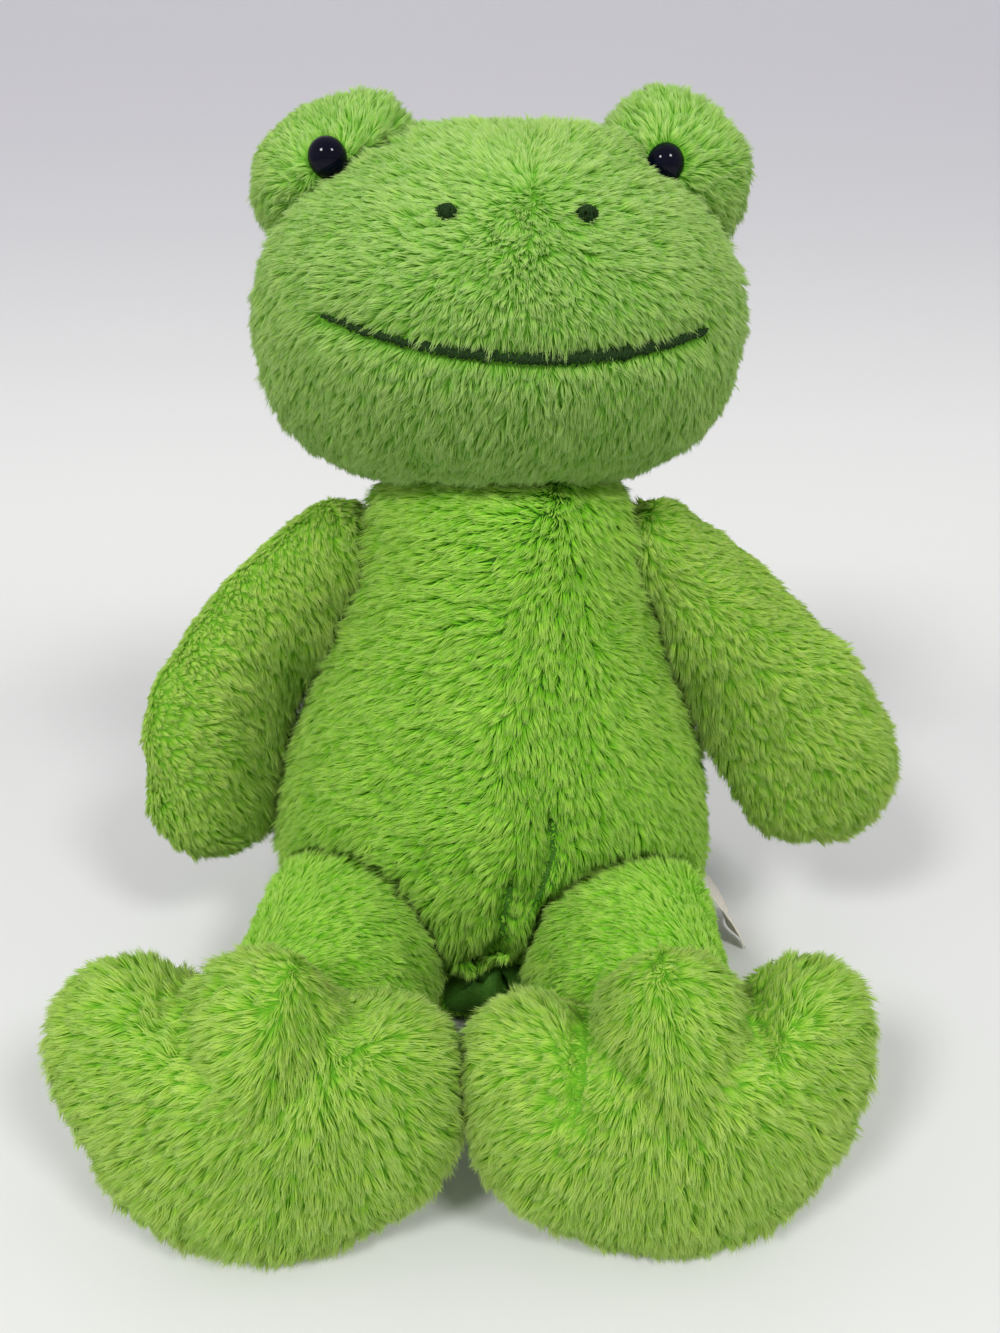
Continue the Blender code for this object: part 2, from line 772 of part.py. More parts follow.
def build_foot(side_name, side, ankle, tools):
    """One foot, which stands on its heel in front of the ankle."""
    bpy.context.view_layer.update()
    height = FOOT_LENGTH / 2 * math.cos(FOOT_LEAN) - FLAT_DEPTH
    centre = ankle.matrix_world.inverted() @ Vector(
        (
            side * (FOOT_WIDTH + FOOT_GAP) / 2 - FOOT_SHIFT,
            ankle.matrix_world.translation.y - ANKLE_RADIUS - FOOT_THICKNESS / 2 + ANKLE_SINK,
            height,
        )
    )
    upright = Matrix.Rotation(math.pi / 2 - FOOT_LEAN, 4, "X")
    roll = Matrix.Rotation(-side * FOOT_ROLL, 4, "Z")
    stuffed_pair(
        side_name + "_foot", foot_form(side), ankle, tools, Matrix.Translation(centre) @ upright @ roll
    )


def build_label(torso):
    """A blank satin strip that leaves the left side seam and reaches the floor."""
    tree = surface_tree(torso)
    top = LABEL_LENGTH * LABEL_FALL_SHARE + LABEL_THICKNESS
    start = Vector((2 * TORSO_HALF_WIDTH, LABEL_SETBACK, top))
    edges = (-LABEL_WIDTH / 2, 0, LABEL_WIDTH / 2)
    seam = [tree.ray_cast(start + Vector((0, edge, 0)), Vector((-1, 0, 0)))[0].x for edge in edges]
    root = Vector((max(seam) + SEAM_GAP + LABEL_THICKNESS, LABEL_SETBACK, top))
    fall = LABEL_LENGTH * LABEL_FALL_SHARE
    reach = math.sqrt(LABEL_LENGTH**2 - fall**2)
    points = []
    for k in range(LABEL_STEPS + 1):
        share = k / LABEL_STEPS
        sway = LABEL_SWAY * math.sin(math.pi * share)
        for edge in (edges[0], edges[-1]):
            points.append(root + Vector((reach * share + sway, edge, -fall * share)))
    faces = [(2 * k, 2 * k + 1, 2 * k + 3, 2 * k + 2) for k in range(LABEL_STEPS)]
    mesh = bpy.data.meshes.new("care_label")
    mesh.from_pydata(points, [], faces)
    strip = add_piece("care_label", mesh, SATIN)
    satin = strip.modifiers.new("satin", "SOLIDIFY")
    satin.thickness = LABEL_THICKNESS
    satin.offset = 0.0


def main():
    """Builds the frog, limbs first, because their balls cut the torso."""
    floor = floor_cutter()
    neck = add_joint("neck", (0, NECK_SETBACK, NECK_HEIGHT), turn=HEAD_TURN)
    neck_dish = dish_cutter("neck_dish", neck, NECK_GAP, NECK_RADIUS)
    dishes = [
        build_arm("left", 1, LEFT_HAND_GAP, REACHING_ARM_SHARES),
        build_arm("right", -1, RIGHT_HAND_GAP, HANGING_ARM_SHARES),
        build_leg("left", 1, LEFT_LEG_SPLAY, floor),
        build_leg("right", -1, RIGHT_LEG_SPLAY, floor),
    ]
    torso, _ = build_torso([floor, *dishes])
    build_label(torso)
    build_head(neck, neck_dish)


for old in list(bpy.data.objects):
    bpy.data.objects.remove(old)
parts = new_collection("plush_frog", False)
cutters = new_collection("cutters", True)
main()
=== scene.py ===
"""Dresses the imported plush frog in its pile, eyes, stitching and label, on a pale sweep.

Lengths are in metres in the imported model's frame: +Z up, the frog looks along -Y, its left is +X.
Places that are read off the picture are pixels of its 1000 by 1333 frame, and are carried onto the
skins along the camera's own rays.
"""

import logging
import math
from dataclasses import dataclass, field
from enum import Enum

import bmesh
import bpy
import numpy as np
from mathutils import Matrix, Vector
from mathutils.bvhtree import BVHTree
from mathutils.kdtree import KDTree


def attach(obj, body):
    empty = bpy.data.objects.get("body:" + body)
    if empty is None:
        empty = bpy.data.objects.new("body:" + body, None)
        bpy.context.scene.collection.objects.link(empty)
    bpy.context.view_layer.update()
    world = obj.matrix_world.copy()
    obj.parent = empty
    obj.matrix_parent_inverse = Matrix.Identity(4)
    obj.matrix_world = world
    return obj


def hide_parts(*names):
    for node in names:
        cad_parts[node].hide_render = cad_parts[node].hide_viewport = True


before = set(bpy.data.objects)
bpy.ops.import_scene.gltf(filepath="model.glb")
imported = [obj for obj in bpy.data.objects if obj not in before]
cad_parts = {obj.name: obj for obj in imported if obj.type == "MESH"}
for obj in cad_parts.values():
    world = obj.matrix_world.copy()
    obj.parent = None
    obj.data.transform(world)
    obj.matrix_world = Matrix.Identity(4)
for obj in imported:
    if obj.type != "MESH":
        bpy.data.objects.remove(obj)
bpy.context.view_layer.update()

log = logging.getLogger("plush_frog")

Place = tuple[float, float, float]
Colour = tuple[float, float, float]
Comb = tuple[float, float, float, float]
Cut = tuple[float, float, float, float]

SEED = 20
LIMB_SEED = SEED + 300
LIMB_SEED_STEP = 10
TINY = 1e-9
MERGE = 1e-6
FAR_WEIGHT = 1e-6
UV_NAME = "OFBake"
FLOOR_ROOM = 0.0002

# Towards a neighbouring skin the pile first stands up, then lies flat, and then doesn't grow
CROWD_REACH = 0.015
JOINT_PILE = 0.0030
JOINT_ROOM = 0.0007

# What the smooth noise mixes its cells' numbers with
NOISE_STEPS = (73856093, 19349663, 83492791)
NOISE_SEED = 7919
NOISE_MIX = 1274126177
NOISE_SHIFT = 0.37
NOISE_BITS = (13, 16)
NOISE_TOP = 0xFFFF

# From where to where one colour gives way to the next: over the strands' tints, along a strand
# from its root, and over the grain of thread, knit, satin and moulded pieces
TINT_SPAN = (0.05, 0.95)
ROOT_SPAN = (0.02, 0.55)
TIP_SPAN = (0.5, 1.0)
GRAIN_SPAN = (0.3, 0.7)

# The Mix node's sockets for two colours and their mixture
MIX_FIRST, MIX_SECOND, MIX_RESULT = 6, 7, 2

# Where the parts turn on each other, with the room that each joint's dish takes
JOINT_BALLS = (
    ((0.0, 0.004, 0.172), 0.058),
    ((0.0623, 0.002, 0.177), 0.024),
    ((-0.0623, 0.002, 0.177), 0.024),
    ((0.047, -0.0462, 0.036), 0.039),
    ((-0.0575, -0.0462, 0.036), 0.039),
    ((0.045, -0.1042, 0.0345), 0.037),
    ((-0.0605, -0.1041, 0.0345), 0.037),
)


class Side(Enum):
    """The frog's own two sides; the value is the sign of X."""

    LEFT = 1
    RIGHT = -1

    @property
    def label(self) -> str:
        """The side's name as the nodes spell it."""
        return self.name.lower()


# Small array and mesh helpers


def no_points() -> np.ndarray:
    """An empty list of places."""
    return np.zeros((0, 3))


def unit(rows: np.ndarray) -> np.ndarray:
    """Scales each row to length one."""
    return rows / np.maximum(np.linalg.norm(rows, axis=-1, keepdims=True), TINY)


def ramp(low: float, high: float, value: np.ndarray) -> np.ndarray:
    """A smooth step from zero at low to one at high."""
    share = np.clip((value - low) / (high - low), 0.0, 1.0)
    return share * share * (3.0 - 2.0 * share)


def waver(points: np.ndarray, cell: float, seed: int) -> np.ndarray:
    """Smooth noise from -1 to 1 over space.

    Args:
        points: places, one a row.
        cell: the size of one lump.
        seed: which pattern.

    Returns:
        One value a row.
    """
    grid = points / cell + NOISE_SHIFT * seed
    base = np.floor(grid).astype(np.int64)
    part = grid - base
    part = part * part * (3.0 - 2.0 * part)
    total = np.zeros(len(points))
    first, second = NOISE_BITS
    for corner in range(8):
        step = np.array([corner & 1, corner >> 1 & 1, corner >> 2 & 1])
        key = (base + step) @ np.array(NOISE_STEPS) + seed * NOISE_SEED
        key = (key ^ (key >> first)) * NOISE_MIX
        key = key ^ (key >> second)
        value = (key & NOISE_TOP) / (0.5 * NOISE_TOP) - 1.0
        total += value * np.prod(np.where(step == 1, part, 1.0 - part), axis=1)
    return total


def bell(rng: np.random.Generator, count: int) -> np.ndarray:
    """Chance values about zero, of unit spread but never beyond 2."""
    return rng.normal(0.0, 1.0, count).clip(-2, 2)


def leaned(aim: np.ndarray, across: np.ndarray, share: np.ndarray) -> np.ndarray:
    """Leans each aim towards its across direction by its share."""
    return unit(aim + across * share[:, None])


def turn_about(rows: np.ndarray, axes: np.ndarray, angles: np.ndarray) -> np.ndarray:
    """Turns each row, which is square to its axis, about that axis by its angle."""
    spin = angles[:, None]
    return rows * np.cos(spin) + np.cross(axes, rows) * np.sin(spin)


def distance_to(points: np.ndarray, line: np.ndarray, reach: float = 0.05) -> np.ndarray:
    """Each point's distance to the nearest of a line's points.

    Args:
        points: the points.
        line: the line's points.
        reach: how far out the answer has to be right.

    Returns:
        The distances; points beyond reach may answer infinity.
    """
    nearest = np.full(len(points), np.inf)
    inside = (points > line.min(0) - reach).all(1) & (points < line.max(0) + reach).all(1)
    close = points[inside]
    best = np.full(len(close), np.inf)
    for spot in line:
        best = np.minimum(best, np.linalg.norm(close - spot, axis=1))
    nearest[inside] = best
    return nearest


def read_rows(rows: bpy.types.bpy_prop_collection, name: str) -> np.ndarray:
    """Reads one vector of each item.

    Args:
        rows: a mesh's vertices or normals.
        name: the vector's name there.

    Returns:
        The vectors, one a row.
    """
    held = np.empty(len(rows) * 3, np.float32)
    rows.foreach_get(name, held)
    return held.reshape(-1, 3).astype(float)


def node_points(node: str) -> np.ndarray:
    """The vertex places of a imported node."""
    return read_rows(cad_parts[node].data.vertices, "co")


def mesh_of(
    name: str, points: np.ndarray, corners: np.ndarray, uv: np.ndarray, normals: np.ndarray
) -> bpy.types.Mesh:
    """Makes a mesh of triangles straight from arrays.

    Args:
        name: the mesh's name.
        points: vertex places.
        corners: vertex of each triangle corner.
        uv: map place of each corner.
        normals: shading normal of each vertex.

    Returns:
        The mesh.
    """
    mesh = bpy.data.meshes.new(name)
    mesh.vertices.add(len(points))
    mesh.vertices.foreach_set("co", points.astype(np.float32).ravel())
    mesh.loops.add(len(corners))
    mesh.loops.foreach_set("vertex_index", corners.astype(np.int32))
    starts = np.arange(0, len(corners), 3, dtype=np.int32)
    mesh.polygons.add(len(starts))
    mesh.polygons.foreach_set("loop_start", starts)
    mesh.polygons.foreach_set("use_smooth", np.ones(len(starts), bool))
    layer = mesh.uv_layers.new(name=UV_NAME)
    layer.uv.foreach_set("vector", uv.astype(np.float32).ravel())
    mesh.update(calc_edges=True)
    held = mesh.attributes.new("custom_normal", "FLOAT_VECTOR", "POINT")
    held.data.foreach_set("vector", normals.astype(np.float32).ravel())
    return mesh


def add_object(name: str, data: bpy.types.ID) -> bpy.types.Object:
    """Puts a new object in the scene.

    Args:
        name: its name.
        data: its mesh, lamp or camera.

    Returns:
        The object.
    """
    made = bpy.data.objects.new(name, data)
    bpy.context.scene.collection.objects.link(made)
    return made


# Camera, and places read off the picture


@dataclass(frozen=True)
class View:
    """The picture's camera: level at the frog's chest, looking a little down."""

    place: Place = (0.0, -0.385, 0.255)
    pitch_deg: float = 18.0
    focal_px: float = 1000.0
    width_px: float = 1000.0
    height_px: float = 1333.0
    sensor_mm: float = 36.0
    clip: tuple[float, float] = (0.01, 20.0)

    def axes(self) -> tuple[np.ndarray, np.ndarray, np.ndarray]:
        """Finds the camera's own directions.

        Returns:
            Its right, up and forward.
        """
        pitch = math.radians(self.pitch_deg)
        up = np.array([0.0, math.sin(pitch), math.cos(pitch)])
        forward = np.array([0.0, math.cos(pitch), -math.sin(pitch)])
        return np.array([1.0, 0.0, 0.0]), up, forward

    def pixels(self, points: np.ndarray) -> np.ndarray:
        """Finds where points lie in the picture.

        Args:
            points: places, one a row.

        Returns:
            Pixels across and down, one pair a row.
        """
        right, up, forward = self.axes()
        away = points - np.array(self.place)
        depth = away @ forward
        across = self.width_px / 2 + self.focal_px * (away @ right) / depth
        down = self.height_px / 2 - self.focal_px * (away @ up) / depth
        return np.stack([across, down], axis=1)

    def ray(self, across: float, down: float) -> tuple[Vector, Vector]:
        """Finds the way to one pixel.

        Args:
            across: the pixel's place across the picture.
            down: its place down the picture.

        Returns:
            The camera's place and the way.
        """
        right, up, forward = self.axes()
        aside = right * (across - self.width_px / 2) / self.focal_px
        drop = up * (down - self.height_px / 2) / self.focal_px
        return Vector(self.place), Vector(forward + aside - drop).normalized()

    def build(self) -> None:
        """Makes the scene's camera."""
        data = bpy.data.cameras.new("camera")
        data.sensor_fit = "HORIZONTAL"
        data.sensor_width = self.sensor_mm
        data.lens = self.sensor_mm * self.focal_px / self.width_px
        data.clip_start, data.clip_end = self.clip
        made = add_object("camera", data)
        made.location = self.place
        made.rotation_euler = (math.radians(90.0 - self.pitch_deg), 0.0, 0.0)
        bpy.context.scene.camera = made


VIEW = View()


# Node groups and finishes


class Wiring:
    """Writes nodes and links into one node tree."""

    def __init__(self, tree: bpy.types.NodeTree) -> None:
        """Keeps the tree."""
        self.tree = tree

    def add(self, kind: str, **settings: object) -> bpy.types.Node:
        """Adds a node.

        Args:
            kind: its type, without the leading ShaderNode.
            settings: its properties.

        Returns:
            The node.
        """
        node = self.tree.nodes.new("ShaderNode" + kind)
        for name, value in settings.items():
            setattr(node, name, value)
        return node

    def fill(self, node: bpy.types.Node, sources: dict[str | int, object]) -> bpy.types.Node:
        """Links sockets to a node's inputs, and writes plain values there.

        Args:
            node: the node.
            sources: a socket or a value for each input, by its name or number.

        Returns:
            The node.
        """
        for name, source in sources.items():
            if isinstance(source, bpy.types.NodeSocket):
                self.tree.links.new(source, node.inputs[name])
            else:
                node.inputs[name].default_value = source
        return node

    def mix(self, share: object, first: object, second: object) -> bpy.types.NodeSocket:
        """A colour that goes from first to second with share."""
        ends = {0: share, MIX_FIRST: first, MIX_SECOND: second}
        return self.fill(self.add("Mix", data_type="RGBA"), ends).outputs[MIX_RESULT]

    def step(self, value: object, low: float, high: float) -> bpy.types.NodeSocket:
        """A smooth share that rises from zero at low to one at high."""
        node = self.add("MapRange", interpolation_type="SMOOTHSTEP")
        return self.fill(node, {"Value": value, "From Min": low, "From Max": high}).outputs[0]

    def split(self, vector: bpy.types.NodeSocket) -> bpy.types.NodeOutputs:
        """A vector's X, Y and Z."""
        return self.fill(self.add("SeparateXYZ"), {0: vector}).outputs


def new_group(
    name: str, inputs: dict[str, tuple[str, object]], outputs: dict[str, str]
) -> tuple[bpy.types.NodeTree, Wiring, bpy.types.NodeOutputs, bpy.types.Node]:
    """Starts a shader node group.

    Args:
        name: the group's name.
        inputs: socket kind and starting value, by socket name.
        outputs: socket kind, by socket name.

    Returns:
        The group, its wiring, the sockets that come in and its output node.
    """
    group = bpy.data.node_groups.new(name, "ShaderNodeTree")
    for label, (kind, value) in inputs.items():
        socket = group.interface.new_socket(label, in_out="INPUT", socket_type="NodeSocket" + kind)
        socket.default_value = value
    for label, kind in outputs.items():
        group.interface.new_socket(label, in_out="OUTPUT", socket_type="NodeSocket" + kind)
    start = group.nodes.new("NodeGroupInput")
    return group, Wiring(group), start.outputs, group.nodes.new("NodeGroupOutput")


def pile_tone_group() -> bpy.types.NodeTree:
    """The colour of a pile strand: shaded at its root, lit at its tip, with a tint of its own.

    Returns:
        The group.
    """
    tones = {tone: ("Color", (1.0, 1.0, 1.0, 1.0)) for tone in ("Root", "Deep", "Bright", "Tip")}
    group, wiring, given, end = new_group(
        "pile_tone", {**tones, "Tip Share": ("Float", 0.5)}, {"Color": "Color"}
    )
    place = wiring.split(wiring.add("UVMap", uv_map=UV_NAME).outputs["UV"])
    body = wiring.mix(wiring.step(place["X"], *TINT_SPAN), given["Deep"], given["Bright"])
    strand = wiring.mix(wiring.step(place["Y"], *ROOT_SPAN), given["Root"], body)
    share = wiring.fill(
        wiring.add("Math", operation="MULTIPLY"),
        {0: wiring.step(place["Y"], *TIP_SPAN), 1: given["Tip Share"]},
    )
    wiring.fill(end, {"Color": wiring.mix(share.outputs[0], strand, given["Tip"])})
    return group


def fibre_grain_group() -> bpy.types.NodeTree:
    """Fine uneven colour and height of thread, knit, satin and moulded pieces.

    Returns:
        The group.
    """
    tones = {tone: ("Color", (0.5, 0.5, 0.5, 1.0)) for tone in ("Dark", "Light")}
    group, wiring, given, end = new_group(
        "fibre_grain",
        {**tones, "Scale": ("Float", 1000.0), "Stretch": ("Vector", (1.0, 1.0, 1.0))},
        {"Color": "Color", "Height": "Float"},
    )
    pull = wiring.fill(
        wiring.add("VectorMath", operation="MULTIPLY"),
        {0: wiring.add("TexCoord").outputs["Object"], 1: given["Stretch"]},
    )
    grain = wiring.fill(
        wiring.add("TexNoise"),
        {"Vector": pull.outputs[0], "Scale": given["Scale"], "Detail": 3.0},
    ).outputs["Fac"]
    colour = wiring.mix(wiring.step(grain, *GRAIN_SPAN), given["Dark"], given["Light"])
    wiring.fill(end, {"Color": colour, "Height": grain})
    return group


GROUPS = {"pile_tone": pile_tone_group(), "fibre_grain": fibre_grain_group()}


def new_material(name: str) -> tuple[bpy.types.Material, Wiring, bpy.types.Node]:
    """Starts a material.

    Args:
        name: the material's name.

    Returns:
        The material, its wiring and its shader.
    """
    material = bpy.data.materials.new(name)
    material.use_nodes = True
    return material, Wiring(material.node_tree), material.node_tree.nodes["Principled BSDF"]


@dataclass(frozen=True)
class PileFinish:
    """Long plush pile, from its shaded roots to its pale tips."""

    name: str
    root: Colour = (0.12, 0.40, 0.012)
    deep: Colour = (0.19, 0.50, 0.022)
    bright: Colour = (0.38, 0.66, 0.075)
    tip: Colour = (0.57, 0.79, 0.23)
    tip_share: float = 0.55
    roughness: float = 0.85
    specular: float = 0.06
    sheen: float = 0.06
    sheen_roughness: float = 0.5

    def build(self) -> bpy.types.Material:
        """Makes the material.

        Returns:
            The material.
        """
        material, wiring, shader = new_material(self.name)
        tones = {"Root": self.root, "Deep": self.deep, "Bright": self.bright, "Tip": self.tip}
        tone = wiring.add("Group", node_tree=GROUPS["pile_tone"])
        wiring.fill(tone, {label: (*colour, 1.0) for label, colour in tones.items()})
        wiring.fill(tone, {"Tip Share": self.tip_share})
        wiring.fill(
            shader,
            {
                "Base Color": tone.outputs["Color"],
                "Roughness": self.roughness,
                "Specular IOR Level": self.specular,
                "Sheen Weight": self.sheen,
                "Sheen Roughness": self.sheen_roughness,
                "Sheen Tint": (*self.tip, 1.0),
            },
        )
        return material


@dataclass(frozen=True)
class GrainFinish:
    """A knit, thread, satin or moulded surface with fine uneven colour and relief."""

    name: str
    dark: Colour
    light: Colour
    scale: float = 1000.0
    stretch: Place = (1.0, 1.0, 1.0)
    relief: float = 0.0001
    roughness: float = 0.8
    specular: float = 0.3

    def build(self) -> bpy.types.Material:
        """Makes the material.

        Returns:
            The material.
        """
        material, wiring, shader = new_material(self.name)
        tones = {"Dark": (*self.dark, 1.0), "Light": (*self.light, 1.0)}
        grain = wiring.fill(
            wiring.add("Group", node_tree=GROUPS["fibre_grain"]),
            {**tones, "Scale": self.scale, "Stretch": self.stretch},
        ).outputs
        bump = wiring.fill(wiring.add("Bump"), {"Distance": self.relief, "Height": grain["Height"]})
        wiring.fill(
            shader,
            {
                "Base Color": grain["Color"],
                "Normal": bump.outputs["Normal"],
                "Roughness": self.roughness,
                "Specular IOR Level": self.specular,
            },
        )
        return material


@dataclass(frozen=True)
class PaperFinish:
    """The sweep's matt paper, clear from behind.

    It is white on the floor round the object. Greyer paper higher up the sweep's back and on the
    floor far in front, which lies under the lamps, is painted shade.
    """

    name: str = "sweep_paper"
    floor: Colour = (0.75, 0.75, 0.74)
    # Painted shade: the grey up the sweep's back and the grey on the floor far in front
    wall_shade: Colour = (0.485, 0.475, 0.515)
    front: Colour = (0.50, 0.50, 0.495)
    wall_shade_fade: tuple[float, float] = (0.0, 0.55)
    front_shade_fade: tuple[float, float] = (-0.40, -0.85)
    roughness: float = 0.9
    specular: float = 0.1

    def build(self) -> bpy.types.Material:
        """Makes the material.

        Returns:
            The material.
        """
        material, wiring, shader = new_material(self.name)
        place = wiring.split(wiring.add("TexCoord").outputs["Object"])
        floor, wall_shade, front = ((*colour, 1.0) for colour in (self.floor, self.wall_shade, self.front))
        # Painted shade: the white paper greys up the sweep's back and on the floor far in front
        colour = wiring.mix(wiring.step(place["Z"], *self.wall_shade_fade), floor, wall_shade)
        colour = wiring.mix(wiring.step(place["Y"], *self.front_shade_fade), colour, front)
        wiring.fill(
            shader,
            {
                "Base Color": colour,
                "Roughness": self.roughness,
                "Specular IOR Level": self.specular,
            },
        )
        behind = wiring.add("NewGeometry").outputs["Backfacing"]
        clear = wiring.add("BsdfTransparent").outputs[0]
        blend = wiring.fill(wiring.add("MixShader"), {0: behind, 1: shader.outputs[0], 2: clear})
        output = material.node_tree.nodes["Material Output"]
        wiring.fill(output, {"Surface": blend.outputs[0]})
        return material


# Skins: the sewn fabric under the pile


@dataclass
class Shaping:
    """A line along which the skin is drawn in, or let out where the depth is below zero.

    Its pixels lie on the picture, from where the camera sees the skin. The pile keeps a share of
    its length there.
    """

    pixels: tuple[tuple[float, float], ...]
    depth: float
    width: float
    pile_share: float = 1.0
    step_px: float = 3.0
    curtain_step: float = 0.001
    curtain_rows: int = 9
    points: np.ndarray = field(default_factory=no_points)
    sight: np.ndarray = field(default_factory=no_points)

    def trace(self, tree: BVHTree) -> None:
        """Finds the line's points on a skin, a few pixels apart, and the way to the camera at each.

        Args:
            tree: answers rays against the skin.
        """
        found, ways = [], []
        for (x0, y0), (x1, y1) in zip(self.pixels, self.pixels[1:]):
            steps = max(2, int(math.hypot(x1 - x0, y1 - y0) / self.step_px))
            for k in range(steps + 1):
                share = k / steps
                start, way = VIEW.ray(x0 + (x1 - x0) * share, y0 + (y1 - y0) * share)
                place = tree.ray_cast(start, way)[0]
                if place is not None:
                    found.append(place)
                    ways.append(-way)
        if found:
            self.points = np.array(found)
            self.sight = np.array(ways)

    def curtain(self) -> np.ndarray:
        """Points through the pile, between the line and the camera."""
        step = self.sight * self.curtain_step
        return np.concatenate([self.points + step * k for k in range(self.curtain_rows)])


@dataclass
class Skin:
    """The stuffed fabric body of one part, which stands for its cover and its stuffing."""

    part: str
    body: str
    shaping: list[Shaping] = field(default_factory=list)
    cell: float = 0.0032
    overlap: float = 0.0012
    smoothing: int = 12
    smooth_in: float = 0.5
    smooth_out: float = 0.53
    probe: Place = (0.11, 0.97, 0.21)
    probe_hits: int = 12
    fill: float = 0.75
    piece: bpy.types.Object | None = None

    @property
    def name(self) -> str:
        """The skin's name."""
        return self.part + "_skin"

    @property
    def nodes(self) -> tuple[str, str]:
        """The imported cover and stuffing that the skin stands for."""
        return self.part + "_cover", self.part + "_stuffing"

    def build(self, material: bpy.types.Material) -> None:
        """Fuses cover and stuffing into one closed skin.

        Args:
            material: the backing's finish.
        """
        shape = bmesh.new()
        for node in self.nodes:
            part = bmesh.new()
            part.from_mesh(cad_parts[node].data)
            bmesh.ops.remove_doubles(part, verts=part.verts, dist=MERGE)
            part.normal_update()
            if node.endswith("stuffing"):
                for vert in part.verts:
                    vert.co += vert.normal * self.overlap
            piece = bpy.data.meshes.new(node)
            part.to_mesh(piece)
            part.free()
            shape.from_mesh(piece)
            bpy.data.meshes.remove(piece)
        mesh = bpy.data.meshes.new(self.name)
        shape.to_mesh(mesh)
        shape.free()
        made = add_object(self.name, mesh)
        remesh = made.modifiers.new("weave", "REMESH")
        remesh.mode = "VOXEL"
        remesh.voxel_size = self.cell
        graph = bpy.context.evaluated_depsgraph_get()
        fused = bpy.data.meshes.new_from_object(made.evaluated_get(graph))
        made.modifiers.clear()
        made.data = fused
        fused.shade_smooth()
        fused.materials.clear()
        fused.materials.append(material)
        self.piece = made
        self.relax(self.smoothing)

    def sew(self) -> None:
        """Draws the skin in and lets it out along its lines."""
        for line in self.shaping:
            line.trace(self.tree())
            if len(line.points):
                self.draw_in(line.points, line.depth, line.width)
            line.trace(self.tree())

    def draw_in(self, line: np.ndarray, depth: float, width: float) -> None:
        """Draws the skin in along a line of points, or lets it out where the depth is below zero.

        Args:
            line: the points.
            depth: how far in.
            width: how wide the valley is.
        """
        points = self.points()
        move = depth * np.exp(-((distance_to(points, line) / width) ** 2))
        self.place_points(points - self.normals() * move[:, None])

    def points(self) -> np.ndarray:
        """The skin's vertex places."""
        return read_rows(self.piece.data.vertices, "co")

    def normals(self) -> np.ndarray:
        """The skin's vertex normals."""
        return read_rows(self.piece.data.vertex_normals, "vector")

    def place_points(self, points: np.ndarray) -> None:
        """Moves the vertices, but not through the floor.

        Args:
            points: their new places.
        """
        points[:, 2] = np.maximum(points[:, 2], FLOOR_ROOM)
        self.piece.data.vertices.foreach_set("co", points.ravel())
        self.piece.data.update()

    def triangles(self) -> np.ndarray:
        """Splits the skin into triangles.

        Returns:
            Their vertex numbers, one triangle a row.
        """
        mesh = self.piece.data
        mesh.calc_loop_triangles()
        held = np.empty(len(mesh.loop_triangles) * 3, np.int32)
        mesh.loop_triangles.foreach_get("vertices", held)
        return held.reshape(-1, 3)

    def tree(self) -> BVHTree:
        """A tree that answers rays against the skin."""
        return BVHTree.FromPolygons(self.points().tolist(), self.triangles().tolist())

    def holds(self, points: np.ndarray, depth: float) -> np.ndarray:
        """Finds the points that lie deeper than a depth inside the skin.

        Args:
            points: places, one a row.
            depth: the depth.

        Returns:
            Whether each does.
        """
        tree, shell = self.tree(), self.points()
        found = ((points > shell.min(0)) & (points < shell.max(0))).all(1)
        for k in np.flatnonzero(found):
            place = Vector(points[k])
            near, normal, _, _ = tree.find_nearest(place)
            found[k] = (place - near).dot(normal) < -depth and self.surrounds(tree, place)
        return found

    def surrounds(self, tree: BVHTree, place: Vector) -> bool:
        """Tells whether a ray from a place leaves the skin an odd number of times.

        Args:
            tree: answers rays against the skin.
            place: the place.

        Returns:
            Whether it does, so that the place is inside.
        """
        way = Vector(self.probe).normalized()
        inside = False
        for _ in range(self.probe_hits):
            hit = tree.ray_cast(place, way)[0]
            if hit is None:
                break
            inside = not inside
            place = hit + way * MERGE
        return inside

    def relax(self, rounds: int) -> None:
        """Smooths the skin without shrinking it.

        Args:
            rounds: how many times it is drawn in and let out again.
        """
        mesh = self.piece.data
        edges = np.empty(len(mesh.edges) * 2, np.int32)
        mesh.edges.foreach_get("vertices", edges)
        first, second = edges.reshape(-1, 2).T
        points = self.points()
        count = np.bincount(edges, minlength=len(points))[:, None]
        for share in (self.smooth_in, -self.smooth_out) * rounds:
            total = np.zeros_like(points)
            np.add.at(total, first, points[second])
            np.add.at(total, second, points[first])
            points += share * (total / np.maximum(count, 1) - points)
        self.place_points(points)

    def finish(self) -> None:
        """Hangs the skin on its body and hides the nodes that it stands for."""
        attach(self.piece, self.body)
        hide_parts(*self.nodes)
        log.info("%s: %d faces", self.name, len(self.piece.data.polygons))


